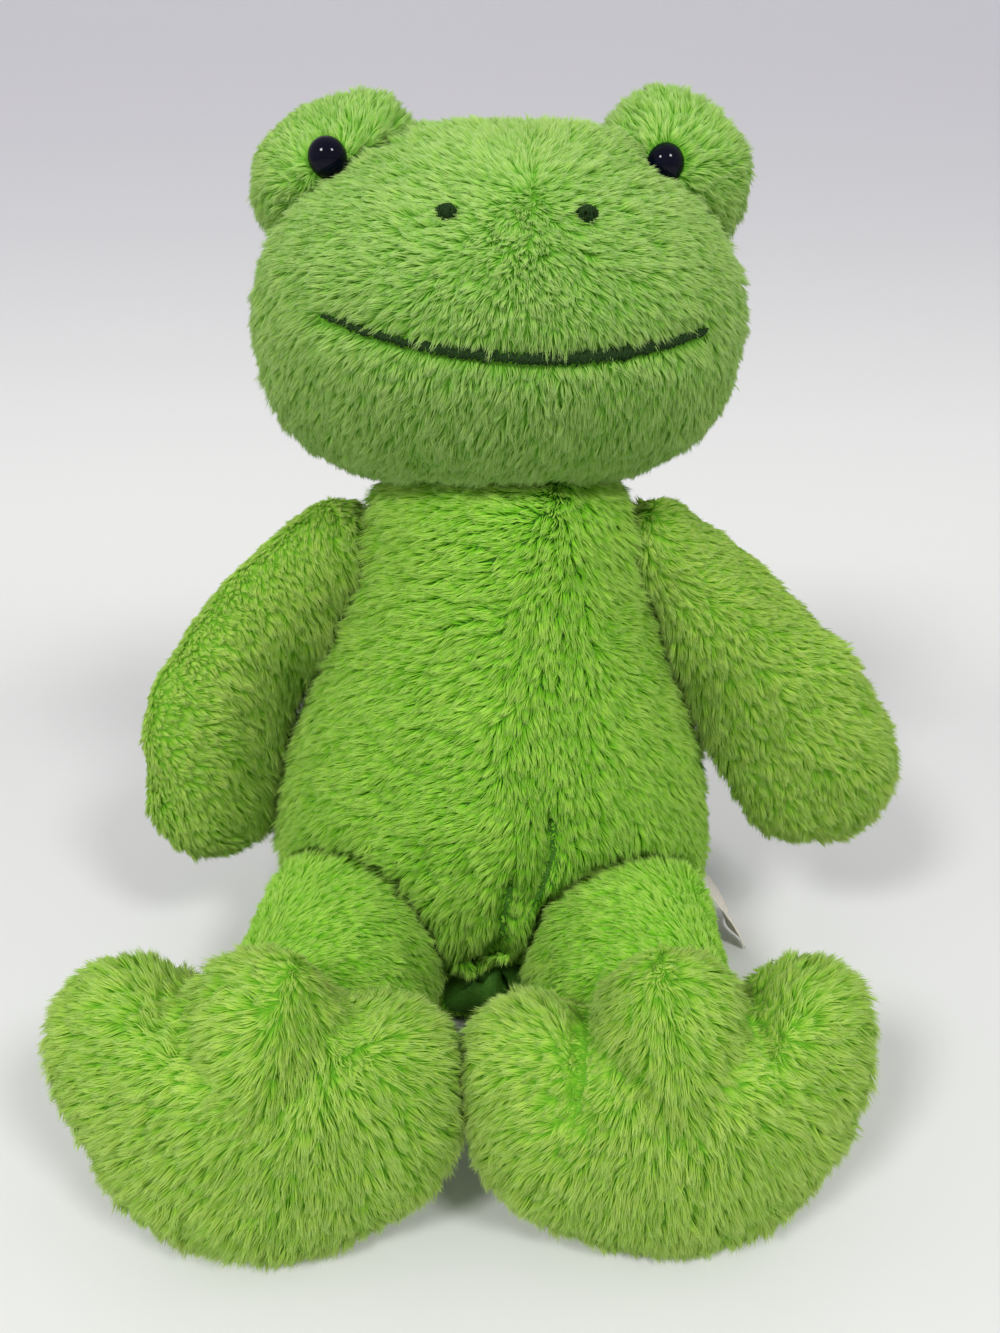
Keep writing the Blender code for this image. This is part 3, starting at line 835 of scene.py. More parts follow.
@dataclass(frozen=True)
class Plumping:
    """How the stuffing pushes the fabric out before it is sewn down."""

    pressure: float = 4.0
    sink: float = 0.0010
    cap: float = 0.0022
    frames: int = 20
    steps: int = 4
    smoothing: int = 2

    def hang(self, skin: Skin) -> np.ndarray:
        """Readies one skin for the simulation.

        Args:
            skin: the skin.

        Returns:
            Where its points were.
        """
        start = skin.points()
        skin.place_points(start - skin.normals() * self.sink)
        still = np.zeros(len(start), bool)
        for centre, radius in JOINT_BALLS:
            still |= np.linalg.norm(start - np.array(centre), axis=1) < radius
        held = skin.piece.vertex_groups.new(name="held")
        held.add(np.flatnonzero(still).tolist(), 1.0, "ADD")
        fabric = skin.piece.modifiers.new("fabric", "CLOTH")
        fabric.settings.quality = self.steps
        fabric.settings.use_pressure = True
        fabric.settings.uniform_pressure_force = self.pressure
        fabric.settings.vertex_group_mass = "held"
        fabric.settings.effector_weights.gravity = 0.0
        fabric.collision_settings.use_collision = False
        return start

    def run(self, skins: list[Skin]) -> None:
        """Puffs all the skins out together and keeps what they come to.

        Args:
            skins: the skins.
        """
        starts = [self.hang(skin) for skin in skins]
        for step in range(1, self.frames + 1):
            bpy.context.scene.frame_set(step)
        graph = bpy.context.evaluated_depsgraph_get()
        for skin, start in zip(skins, starts):
            move = read_rows(skin.piece.evaluated_get(graph).data.vertices, "co") - start
            far = np.linalg.norm(move, axis=1, keepdims=True)
            log.info("%s: moved %.2f mm at most", skin.name, 1000 * far.max())
            move *= self.cap * np.tanh(far / self.cap) / np.maximum(far, TINY)
            skin.piece.modifiers.clear()
            skin.piece.vertex_groups.clear()
            skin.place_points(start + move)
            skin.relax(self.smoothing)
        bpy.context.scene.frame_set(1)


# Pile


@dataclass
class KeepClear:
    """Points that strands may not grow within, and a wider reach that their ends stay out of.

    A share of the strands, the strays, may lie across it.
    """

    points: np.ndarray
    bare: float
    reach: float
    strays: float = 0.0


@dataclass(frozen=True)
class Nap:
    """How one part's pile is woven and brushed.

    Density is in strands to the square metre, and tuft is the distance between tufts. Combs are
    pixels of the picture with the way that the tips point there; away and swirl say it for what
    the camera doesn't see. Each cut is a pixel, its reach and the share of the length left there.
    """

    combs: tuple[Comb, ...]
    away: Place = (0.0, 0.1, -1.0)
    swirl: Place = (0.0, 0.0, 0.0)
    length: float = 0.0056
    lift_deg: float = 28.0
    density: float = 3.5e6
    width: float = 0.00052
    tuft: float = 0.0021
    gather: float = 0.56
    comb_reach_px: float = 36.0
    curl_deg: float = 15.0
    unrest: float = 0.25
    cuts: tuple[Cut, ...] = ()


@dataclass(frozen=True)
class Tufting:
    """How tufts, rows and single strands depart from the nap; the same for every part.

    A plain number is a share of the nap's own value, or of a tint that runs from 0 to 1.
    """

    flow_cell: float = 0.012
    turn_cell: float = 0.005
    turn_seed: int = 5
    swell_cell: float = 0.009
    swell_seed: int = 9
    tint_cell: float = 0.014
    tint_seed: int = 2
    row_near: int = 20
    row_depth: float = 0.0013
    row_width: float = 0.0036
    facing: tuple[float, float] = (-0.15, 0.35)
    agreed: float = 0.8
    swell_lift: float = 0.25
    row_lift: float = 0.22
    mess_lift_deg: float = 14.0
    tuft_lift_deg: float = 5.0
    strand_lift_deg: float = 6.0
    least_lift_deg: float = 8.0
    most_lift_deg: float = 75.0
    turn_share: float = 0.5
    strand_turn_deg: float = 9.0
    tuft_length: float = 0.12
    row_length: float = 0.08
    mess_length: float = 0.2
    strand_length: float = 0.10
    press: float = 1.6
    flat_lift: float = 0.2
    flat_length: float = 0.4
    crowd_start: float = 0.004
    crowd_end: float = 0.005
    crowd_lift_deg: float = 44.0
    crowd_length: float = 0.35
    tint: float = 0.52
    tint_swell: float = 0.12
    # Painted light and shade: rows that stand up are tinted lighter, sunken rows darker
    row_painted_light: float = 0.10
    tint_tuft: float = 0.10
    tint_strand: float = 0.07
    # Painted shade: strands past rim_middle at a tuft's rim, and strands lying under, are tinted
    # darker; those on top are tinted lighter
    rim_painted_shade: float = 0.22
    under_painted_shade: float = 0.10
    tint_ends: tuple[float, float] = (0.03, 0.97)
    rim_middle: float = 0.7
    loose: float = 0.22
    loose_gather: float = 0.25
    loose_lift_deg: float = 7.0
    loose_width: float = 0.25
    mess_gather: float = 0.4
    tip_spread: float = 0.00032
    clear_tries: int = 7
    clear_shrink: float = 0.78
    clear_shares: tuple[float, ...] = (0.4, 0.6, 0.8, 1.0)
    bulge: float = 1.1
    seam_reach: float = 5.0
    seam_spread: float = 1.6


@dataclass(frozen=True)
class Needle:
    """How one strand is shaped and shaded.

    Its normals are those of a soft round tuft, mixed from the ways out of the skin, along the
    strand and out of the tuft, and leaned so far that no side faces away from them.
    """

    uneven: float = 0.15
    out: float = 0.6
    way: float = 0.35
    bulge: float = 0.6
    least: float = 0.1
    lean: float = 0.15
    root_level: float = 0.02
    tip_level: float = 0.98
    tint_step: float = 0.012


TUFTING = Tufting()
NEEDLE = Needle()


@dataclass
class Pile:
    """Pile strands on one skin, gathered in tufts that lie the way the fabric was brushed."""

    skin: Skin
    nap: Nap
    seed: int
    clear: list[KeepClear] = field(default_factory=list)
    hidden: list[tuple[Place, float]] = field(default_factory=list)
    buried: list[Skin] = field(default_factory=list)
    neighbours: list[Skin] = field(default_factory=list)
    buried_depth: float = 0.0022
    piece_strands: int = 66000
    gap: np.ndarray = field(default_factory=lambda: np.zeros(0))

    @property
    def name(self) -> str:
        """What its pieces' names start with."""
        return self.skin.part + "_pile"

    def roots(self, rng: np.random.Generator) -> tuple[np.ndarray, np.ndarray, int]:
        """Spreads the strands' roots evenly over the skin.

        Args:
            rng: the seeded source of chance.

        Returns:
            The roots, the way out at each, and how many of the first are tuft middles.
        """
        points, normals, triangles = self.skin.points(), self.skin.normals(), self.skin.triangles()
        a, b, c = (points[triangles[:, k]] for k in range(3))
        area = 0.5 * np.linalg.norm(np.cross(b - a, c - a), axis=1)
        count = int(area.sum() * self.nap.density)
        pick = np.searchsorted(np.cumsum(area) / area.sum(), rng.random(count))
        pick = np.minimum(pick, len(triangles) - 1)
        u, v = rng.random((2, count))
        flip = u + v > 1.0
        u, v = np.where(flip, 1.0 - u, u), np.where(flip, 1.0 - v, v)
        share = np.stack([1.0 - u - v, u, v], axis=1)[:, :, None]
        held = triangles[pick]
        found = (points[held] * share).sum(1)
        out = unit((normals[held] * share).sum(1))
        keep = np.ones(count, bool)
        for zone in self.clear:
            keep &= distance_to(found, zone.points, zone.bare) > zone.bare
        for centre, radius in self.hidden:
            keep &= np.linalg.norm(found - np.array(centre), axis=1) > radius
        for skin in self.buried:
            keep[keep] &= ~skin.holds(found[keep], self.buried_depth)
        self.gap = self.room(found[keep])
        keep[keep] &= self.gap > JOINT_ROOM
        self.gap = self.gap[self.gap > JOINT_ROOM]
        heads = int(area.sum() / self.nap.tuft**2)
        log.info("%s: %.0f square centimetres", self.name, 1e4 * area.sum())
        return found[keep], out[keep], int(keep[:heads].sum())

    def room(self, roots: np.ndarray) -> np.ndarray:
        """Finds how far each root is from a neighbouring skin, up to the crowding reach.

        Args:
            roots: the strands' roots.

        Returns:
            The distances.
        """
        room = np.full(len(roots), CROWD_REACH)
        for skin in self.neighbours:
            tree = skin.tree()
            for k, place in enumerate(roots.tolist()):
                found = tree.find_nearest(place, CROWD_REACH)[3]
                if found is not None:
                    room[k] = min(room[k], found)
        return room

    def lay(self, roots: np.ndarray, out: np.ndarray) -> tuple[np.ndarray, np.ndarray]:
        """Finds which way each strand lies on the skin.

        Args:
            roots: the strands' roots.
            out: the way out at each.

        Returns:
            Unit directions along the skin, and how well the brushing agrees at each root.
        """
        right, up, _ = VIEW.axes()
        table = np.array(self.nap.combs)
        gap = VIEW.pixels(roots)[:, None, :] - table[None, :, :2]
        weight = np.exp(-(gap**2).sum(2) / (2 * self.nap.comb_reach_px**2)) + FAR_WEIGHT
        pull = weight @ unit(table[:, 2:]) / weight.sum(1, keepdims=True)
        seen = pull[:, :1] * right - pull[:, 1:] * up
        sight = unit(np.array(VIEW.place) - roots)
        facing = ramp(*TUFTING.facing, (sight * out).sum(1))[:, None]
        around = unit(np.array(self.nap.away)) + np.cross(np.array(self.nap.swirl), out)
        flow = seen * facing + around * (1.0 - facing)
        drift = [waver(roots, TUFTING.flow_cell, self.seed + k) for k in range(3)]
        flow += self.nap.unrest * np.stack(drift, axis=1)
        flow -= (flow * out).sum(1, keepdims=True) * out
        return unit(flow), np.clip(np.linalg.norm(flow, axis=1), 0.0, 1.0)

    def rows(
        self, heads: np.ndarray, along: np.ndarray, finder: KDTree, chance: np.ndarray
    ) -> np.ndarray:
        """Raises uneven rows that run across the lie of the pile.

        Args:
            heads: the tufts' middles.
            along: the way each tuft lies.
            finder: finds tufts near a place.
            chance: a random value for each tuft.

        Returns:
            One value a tuft, of about unit spread, within 2 of zero.
        """
        found = [finder.find_n(place, TUFTING.row_near) for place in heads.tolist()]
        near = np.array([[k for _, k, _ in tufts] for tufts in found])
        gap = heads[near] - heads[:, None]
        lengthwise = (gap * along[:, None]).sum(2)
        across = (gap**2).sum(2) - lengthwise**2
        weight = np.exp(-((lengthwise / TUFTING.row_depth) ** 2) - across / TUFTING.row_width**2)
        value = (weight * chance[near]).sum(1)
        return (value / value.std()).clip(-2, 2)

    def trim(self, roots: np.ndarray) -> np.ndarray:
        """Finds how much of its length each strand keeps at the seams and where the pile is cut.

        Args:
            roots: the strands' roots.

        Returns:
            The shares; above one where the pile is longer.
        """
        keep = np.ones(len(roots))
        for line in self.skin.shaping:
            if line.pile_share < 1.0 and len(line.points):
                near = distance_to(roots, line.points, TUFTING.seam_reach * line.width)
                near = (near / (TUFTING.seam_spread * line.width)) ** 2
                keep *= 1.0 - (1.0 - line.pile_share) * np.exp(-near)
        seen = VIEW.pixels(roots)
        for across, down, reach, share in self.nap.cuts:
            near = ((seen - (across, down)) ** 2).sum(1) / (2 * reach**2)
            keep *= 1.0 - (1.0 - share) * np.exp(-near)
        return keep

    def grow(self, material: bpy.types.Material) -> None:
        """Grows the strands and joins them into pieces.

        Args:
            material: the pile's finish.
        """
        nap, rule = self.nap, TUFTING
        rng = np.random.default_rng(self.seed)
        roots, out, heads = self.roots(rng)
        total, middles = len(roots), roots[:heads]
        along, agree = self.lay(roots, out)
        finder = KDTree(heads)
        for k, place in enumerate(middles.tolist()):
            finder.insert(place, k)
        finder.balance()
        head = np.array([finder.find(place)[1] for place in roots.tolist()])

        # What the strands of a tuft share
        mess = 1.0 - ramp(0.0, rule.agreed, agree[:heads])
        curl = np.radians(nap.curl_deg) * (1.0 + mess)
        wander = waver(middles, rule.turn_cell, self.seed + rule.turn_seed)
        turn = rng.normal(0.0, 1.0, heads) + wander
        head_turn = curl * turn
        head_along = turn_about(along[:heads], out[:heads], head_turn)
        row = self.rows(middles, along[:heads], finder, rng.normal(0.0, 1.0, heads))
        swell = waver(middles, rule.swell_cell, self.seed + rule.swell_seed)
        ridge = 1.0 + rule.swell_lift * swell + rule.row_lift * row
        steep = (nap.lift_deg + rule.mess_lift_deg * mess) * ridge
        steep += rng.normal(0.0, rule.tuft_lift_deg, heads)
        head_lift = np.radians(steep.clip(rule.least_lift_deg, rule.most_lift_deg))
        uneven = rule.tuft_length * bell(rng, heads)
        head_length = nap.length * (1.0 + uneven + rule.row_length * row)
        head_length *= 1.0 - rule.mess_length * mess

        # Each strand's own length, turn and lift, less where the pile is cut or a part is near
        trim = self.trim(roots)
        length = head_length[head] * trim
        length *= 1.0 + rule.strand_length * bell(rng, total)
        own_turn = head_turn[head] * rule.turn_share
        own_turn += rng.normal(0.0, np.radians(rule.strand_turn_deg), total)
        own = turn_about(along, out, own_turn)
        press = trim.clip(0.0, 1.0) ** rule.press
        lift = head_lift[head] + rng.normal(0.0, np.radians(rule.strand_lift_deg), total)
        lift *= press
        free = ramp(JOINT_ROOM, JOINT_PILE, self.gap)
        lift *= rule.flat_lift + (1.0 - rule.flat_lift) * free
        length *= rule.flat_length + (1.0 - rule.flat_length) * free
        inner = (self.gap - JOINT_PILE) / rule.crowd_start
        crowd = np.minimum(inner, (CROWD_REACH - self.gap) / rule.crowd_end).clip(0.0, 1.0)
        lift = np.maximum(lift, np.radians(rule.crowd_lift_deg) * crowd)
        length *= 1.0 + rule.crowd_length * crowd

        # Where it stands in its tuft, which bends its normal and tints it. Its tint is random tone
        # with painted light and shade: lighter on raised rows, in the tuft's middle and on top,
        # darker at the tuft's rim and under it
        offset = (roots - roots[head]) / (0.5 * nap.tuft)
        behind = (offset * along).sum(1, keepdims=True)
        bulge = offset - behind * along - behind * out
        bulge /= np.maximum(np.linalg.norm(bulge, axis=1, keepdims=True) / rule.bulge, 1.0)
        shade = waver(roots, rule.tint_cell, self.seed + rule.tint_seed)
        tint = rule.tint + rule.tint_swell * shade
        # Painted light on raised rows, painted shade in sunken rows
        tint += (rule.row_painted_light * row)[head]
        own_tint = rule.tint_tuft * rng.normal(0.0, 1.0, heads)[head]
        tint += own_tint + rule.tint_strand * rng.normal(0.0, 1.0, total)
        # Painted shade at the tuft's rim and under it, painted light in its middle and on top
        far = np.linalg.norm(offset, axis=1).clip(0.0, 2 * rule.rim_middle)
        rim = rule.rim_painted_shade * (far - rule.rim_middle)
        tint -= rim + rule.under_painted_shade * behind[:, 0].clip(-1, 1)

        # How far its tip is drawn to its tuft's
        stray = rng.random(total)
        loose = rng.random(total) < rule.loose
        agreed = 1.0 - rule.mess_gather + rule.mess_gather * ramp(0.0, rule.agreed, agree)
        gather = (np.where(loose, rule.loose_gather, nap.gather * agreed) * free)[:, None]
        lift = lift + np.radians(rule.loose_lift_deg) * loose
        spread = rng.normal(0.0, rule.tip_spread, (total, 3))
        head_lift = head_lift * press[:heads]
        lean = head_along * np.cos(head_lift)[:, None] + out[:heads] * np.sin(head_lift)[:, None]
        zones = []
        for zone in self.clear:
            reach = zone.reach + 2.0 * nap.length
            near = distance_to(roots, zone.points, reach) < reach
            zones.append((zone, np.flatnonzero(near & (stray >= zone.strays))))
        for _ in range(rule.clear_tries):
            flat, rise = (length * np.cos(lift))[:, None], (length * np.sin(lift))[:, None]
            own_tip = roots + own * flat + out * rise
            head_tip = roots[head] + lean[head] * length[:, None]
            tip = own_tip * (1.0 - gather) + (head_tip + spread) * gather
            crowded = np.zeros(total, bool)
            for zone, near in zones:
                for share in rule.clear_shares:
                    place = roots[near] + (tip[near] - roots[near]) * share
                    crowded[near] |= distance_to(place, zone.points, zone.reach) < zone.reach
            if not crowded.any():
                break
            length = np.where(crowded, length * rule.clear_shrink, length)
        width = nap.width * (1.0 - rule.loose_width * loose)
        self.join(material, rng, roots, out, tip, bulge, width, tint.clip(*rule.tint_ends))

    def join(
        self,
        material: bpy.types.Material,
        rng: np.random.Generator,
        roots: np.ndarray,
        out: np.ndarray,
        tip: np.ndarray,
        bulge: np.ndarray,
        width: np.ndarray,
        tint: np.ndarray,
    ) -> None:
        """Turns strands into three-sided needles, shaded as parts of a soft round tuft.

        Args:
            material: the pile's finish.
            rng: the seeded source of chance.
            roots: where the strands start.
            out: the way out of the skin there.
            tip: where the strands end.
            bulge: the way out of its tuft at each strand, up to about unit length.
            width: how wide each strand is at its root.
            tint: each strand's own tint from 0 to 1.
        """
        total, needle = len(roots), NEEDLE
        width = width * (1.0 + needle.uneven * bell(rng, total))
        way = unit(tip - roots)
        side = unit(np.cross(way, out))
        soft = unit(needle.out * out + needle.way * way + needle.bulge * bulge)
        phase = rng.random(total) * 2 * math.pi
        third = 2 * math.pi / 3
        sides = [turn_about(side, way, phase + (k + 0.5) * third) for k in range(3)]
        facing = [(soft * sides[k]).sum(1) for k in range(3)]
        rows, normals = [], []
        for k in range(3):
            around = turn_about(side, way, phase + k * third)
            short = needle.least - np.minimum(facing[k], facing[k - 1])
            rows.append(roots + around * (0.5 * width)[:, None])
            normals.append(leaned(soft, around, 2.0 * short.clip(0.0) + needle.lean))
        for k in range(3):
            short = needle.least - facing[k]
            rows.append(tip)
            normals.append(leaned(soft, sides[k], short.clip(0.0) + needle.lean))
        points = np.stack(rows, axis=1)
        points[:, :, 2] = np.maximum(points[:, :, 2], FLOOR_ROOM)
        shading = np.stack(normals, axis=1)

        # Each needle has three sides, from two of its root corners to one of its three tips
        pattern = np.array([0, 1, 3, 1, 2, 4, 2, 0, 5])
        level = np.where(pattern < 3, needle.root_level, needle.tip_level)
        shift = np.array([-1, 0, 1, 0, 0, 0])[pattern] * needle.tint_step
        order = np.argsort(roots[:, 1], kind="stable")
        pieces = max(1, math.ceil(total / self.piece_strands))
        for k, group in enumerate(np.array_split(order, pieces)):
            count = len(group)
            corners = (pattern[None, :] + points.shape[1] * np.arange(count)[:, None]).ravel()
            across = tint[group][:, None] + shift[None, :]
            uv = np.stack([across, np.broadcast_to(level, across.shape)], axis=2).reshape(-1, 2)
            name = self.name if pieces == 1 else f"{self.name}_{k + 1}"
            held, lit = points[group].reshape(-1, 3), shading[group].reshape(-1, 3)
            mesh = mesh_of(name, held, corners, uv, lit)
            mesh.materials.append(material)
            piece = add_object(name, mesh)
            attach(piece, self.skin.body)
            log.info("%s: %d strands", name, count)


# Brushing of the pile, read off the picture: pixel across and down, then the way the tips point.
# LEG, FOOT and MOUND hold what both sides' naps share.

HEAD_NAP = Nap(
    (
        (530, 130, 0, -1), (410, 150, -0.7, -0.6), (640, 150, 0.7, -0.6), (490, 155, -0.8, -0.4),
        (570, 155, 0.8, -0.4), (470, 190, -1, 0.05), (590, 190, 1, 0), (440, 215, -1, 0.2),
        (620, 215, 1, 0.15), (500, 215, -0.7, 0.5), (560, 215, 0.6, 0.6), (530, 235, -0.1, 1),
        (380, 230, -1, 0.15), (300, 260, -1, 0.15), (660, 230, 1, 0.1), (720, 260, 1, 0.3),
        (450, 260, -0.8, 0.6), (520, 265, -0.1, 1), (590, 260, 0.7, 0.7), (350, 300, -1, 0.35),
        (430, 310, -0.6, 0.8), (500, 320, -0.25, 1), (570, 330, 0.2, 1), (640, 310, 0.5, 0.8),
        (700, 300, 0.9, 0.3), (262, 320, -0.6, 0.6), (745, 320, 0.6, 0.6), (300, 370, -0.7, 0.9),
        (380, 380, -0.45, 1), (480, 400, -0.25, 1), (580, 400, -0.1, 1), (660, 380, 0.05, 1),
        (720, 360, 0.2, 1), (330, 440, -0.6, 1), (430, 460, -0.3, 1), (540, 465, -0.15, 1),
        (640, 440, 0.1, 1),
    ),
    length=0.0048, width=0.00050, tuft=0.0018, curl_deg=17.0, unrest=0.15,
    cuts=((235, 445, 40, 1.4), (520, 230, 20, 0.8)),
)
TORSO_NAP = Nap(
    (
        (400, 530, -1, 0.25), (500, 530, -0.9, 0.3), (600, 540, 0.1, 0.6), (640, 560, 0.8, 0.3),
        (370, 600, -1, 0.2), (470, 600, -1, 0.3), (560, 610, -0.4, 0.7), (640, 620, 0.9, -0.1),
        (340, 680, -1, 0.25), (450, 690, -1, 0.4), (560, 700, -0.2, 0.8), (650, 700, 0.9, 0.4),
        (310, 760, -1, 0.3), (430, 770, -0.9, 0.6), (560, 770, 0, 1), (680, 780, 0.8, 0.6),
        (300, 830, -0.8, 0.5), (400, 840, -1, 0.3), (470, 850, -0.9, 0.2), (600, 840, 0.3, 1),
        (690, 850, 0.3, 1), (350, 880, -0.6, 0.9), (430, 900, -0.6, 0.9), (490, 920, -0.2, 1),
        (530, 920, 0.2, 1), (600, 890, 0.2, 1),
    ),
    density=2.9e6, width=0.00058, unrest=0.3, cuts=((642, 522, 26, 1.5), (372, 522, 26, 1.5)),
)
RIGHT_ARM_NAP = Nap(
    (
        (319, 544, 0.5, 1), (255, 592, 1, 0.6), (191, 703, 1, 0.15), (175, 767, 1, 0.1),
        (223, 831, 0.8, 0.5), (287, 703, 0.1, 1), (255, 799, 0.3, 1), (300, 620, 0.3, 1),
    ),
    away=(0.1, 0.0, -0.5), swirl=(0.0, 0.0, 1.0), lift_deg=26.0, gather=0.58, curl_deg=19.0,
    cuts=(
        (350, 512, 22, 0.75), (295, 522, 28, 0.7), (245, 570, 28, 0.7), (200, 630, 28, 0.7),
        (165, 690, 28, 0.7), (148, 760, 28, 0.7), (335, 680, 30, 1.35),
    ),
)
LEFT_ARM_NAP = Nap(
    (
        (640, 536, 0, 1), (696, 550, 0.8, -0.5), (752, 578, 1, 0.05), (808, 648, 0.9, 0.5),
        (864, 690, 1, 0.2), (660, 600, 0.5, 0.8), (696, 676, 0.1, 1), (752, 704, 0.3, 0.9),
        (808, 746, 0.8, 0.4), (780, 790, 0.2, 1), (850, 800, 0.3, 1), (738, 774, 0.5, 1),
        (885, 760, 0.8, 0.6),
    ),
    away=(0.5, 0.0, -0.6), swirl=(0.0, 0.0, 0.9), lift_deg=27.0, gather=0.58, curl_deg=20.0,
    unrest=0.3, cuts=((658, 512, 22, 0.75), (735, 545, 45, 0.75), (708, 695, 24, 1.35)),
)
LEG: dict[str, object] = {
    "away": (0.0, -0.6, -0.4), "length": 0.0042, "lift_deg": 25.0, "density": 3.0e6,
    "tuft": 0.0018, "curl_deg": 11.0, "unrest": 0.2,
}
RIGHT_LEG_NAP = Nap(
    (
        (278, 920, 1, 0.05), (325, 904, 1, 0.3), (389, 952, 0.6, 1), (429, 952, 0.2, 1),
        (260, 890, 1, -0.2),
    ),
    swirl=(0.0, 0.8, 0.0), **LEG,
)
LEFT_LEG_NAP = Nap(
    ((700, 930, -1.0, 0.1), (650, 910, -1.0, 0.3), (584, 923, -0.8, 0.5), (543, 943, -0.3, 1.0)),
    swirl=(0.0, -0.8, 0.0), **LEG,
)
FOOT: dict[str, object] = {
    "away": (0.0, -0.9, -0.6), "density": 3.4e6, "tuft": 0.0019, "comb_reach_px": 30.0,
    "curl_deg": 18.0,
}
RIGHT_FOOT_NAP = Nap(
    (
        (80, 960, -0.9, -0.4), (120, 950, -0.9, -0.4), (60, 1000, -1, -0.1), (110, 1000, -1, 0),
        (170, 975, -1, -0.1), (220, 955, -1, -0.3), (260, 960, -1, -0.3), (70, 1060, -1, 0.25),
        (120, 1060, -1, 0.15), (180, 1020, -1, 0.1), (240, 1005, -1, 0.15), (180, 1080, -1, 0.2),
        (240, 1060, -1, 0.35), (295, 1030, -0.3, 1), (330, 1005, 0.3, 0.8), (320, 1060, 0, 1),
        (290, 965, -0.7, 0.6), (330, 975, 0.1, 1), (90, 1120, -1, 0.4), (150, 1140, -1, 0.35),
        (220, 1130, -0.9, 0.5), (280, 1110, -0.5, 0.8), (370, 1015, 1, -0.1),
        (400, 1000, 0.8, -0.5), (440, 1010, 0.8, -0.5), (385, 1045, 1, 0.05), (450, 1050, 1, 0.3),
        (350, 1085, 0.9, 0.3), (410, 1090, 0.9, 0.4), (335, 1125, 0.3, 0.9), (400, 1140, 0.6, 0.9),
        (450, 1110, 0.7, 0.9), (130, 1190, -0.8, 0.6), (200, 1200, -0.7, 0.8),
        (270, 1190, -0.4, 0.9), (340, 1190, 0.2, 1), (410, 1190, 0.5, 1), (300, 1245, -0.1, 1),
        (220, 1240, -0.5, 0.8), (380, 1240, 0.3, 1),
    ),
    length=0.0054, cuts=((293, 970, 18, 0.7),), **FOOT,
)
LEFT_FOOT_NAP = Nap(
    (
        (500, 990, -0.8, -0.5), (530, 980, -0.6, -0.7), (560, 990, -0.5, -0.7),
        (490, 1030, -0.9, 0.2), (545, 1030, -1, -0.15), (480, 1080, -0.8, 0.6),
        (550, 1070, -1, 0.05), (550, 1110, -1, 0.25), (490, 1120, -0.8, 0.6), (600, 955, -0.9, 0.5),
        (620, 985, -0.8, 0.5), (645, 990, -0.1, 1), (640, 945, -0.2, 1), (680, 945, 0.4, 0.9),
        (675, 975, 0.7, 0.6), (715, 965, 1, 0.3), (715, 1005, 1, 0.3), (605, 1020, -0.8, 0.6),
        (650, 1035, -0.1, 1), (700, 1045, 0.8, 0.6), (610, 1070, -0.7, 0.7), (650, 1090, -0.4, 0.9),
        (700, 1090, 0.5, 0.9), (765, 1000, -0.3, -0.9), (790, 970, 0, -1), (830, 965, 0.6, -0.8),
        (865, 1000, 0.9, -0.3), (810, 1030, 0.8, 0.2), (860, 1050, 0.9, 0.5), (760, 1060, 0.7, 0.4),
        (770, 1100, 1, 0.3), (830, 1110, 0.8, 0.7), (560, 1160, -0.7, 0.7), (620, 1140, -0.5, 0.9),
        (700, 1150, 0.3, 1), (770, 1160, 0.6, 0.9), (600, 1220, -0.3, 1), (680, 1220, 0.1, 1),
        (760, 1210, 0.5, 1),
    ),
    length=0.0052, cuts=((650, 966, 18, 0.7), (780, 1034, 18, 0.75)), **FOOT,
)
MOUND: dict[str, object] = {
    "length": 0.0048, "density": 3.6e6, "width": 0.00050, "tuft": 0.0019, "comb_reach_px": 25.0,
    "curl_deg": 20.0,
}
MOUND_NAPS = {
    Side.LEFT: Nap(
        (
            (620, 120, -0.6, -0.8), (660, 105, 0, -1), (700, 115, 0.4, -1), (735, 150, 0.9, -0.4),
            (740, 200, 0.9, 0.3), (710, 190, 0.6, 0.8), (680, 195, 0.2, 1), (630, 140, -0.7, -0.3),
            (700, 150, 0.7, -0.3),
        ),
        **MOUND,
    ),
    Side.RIGHT: Nap(
        (
            (280, 150, -0.9, -0.3), (300, 120, -0.6, -0.8), (350, 110, 0.1, -1),
            (390, 110, 0.5, -0.9), (410, 135, 0.8, -0.5), (270, 200, -0.8, 0.5),
            (300, 215, -0.6, 0.8), (350, 190, 0.3, 0.5), (380, 160, 0.8, -0.3),
        ),
        cuts=((275, 110, 34, 0.6),), **MOUND,
    ),
}


# Stitching, eyes and label


def tube_net(
    path: np.ndarray, radii: np.ndarray, around: int = 6, upright: float = 0.9
) -> tuple[np.ndarray, list[tuple[int, ...]]]:
    """A closed round tube along a path.

    Args:
        path: the centreline's points.
        radii: the radius at each.
        around: sides of the tube.
        upright: the rise from which a path's sides are set out from X and not from Z.

    Returns:
        Points and faces.
    """
    ways = unit(np.gradient(path, axis=0))
    hint = np.array([0.0, 0.0, 1.0] if abs(ways[0, 2]) < upright else [1.0, 0.0, 0.0])
    points, faces = [], []
    for place, way, radius in zip(path, ways, radii):
        across = unit(np.cross(way, hint))
        rise = np.cross(across, way)
        for k in range(around):
            turn = 2 * math.pi * k / around
            points.append(place + radius * (math.cos(turn) * across + math.sin(turn) * rise))
    for r in range(len(path) - 1):
        for k in range(around):
            after = (k + 1) % around
            low, high = r * around, (r + 1) * around
            faces.append((low + k, high + k, high + after, low + after))
    last = (len(path) - 1) * around
    faces.append(tuple(range(around)))
    faces.append(tuple(reversed(range(last, last + around))))
    return np.array(points), faces


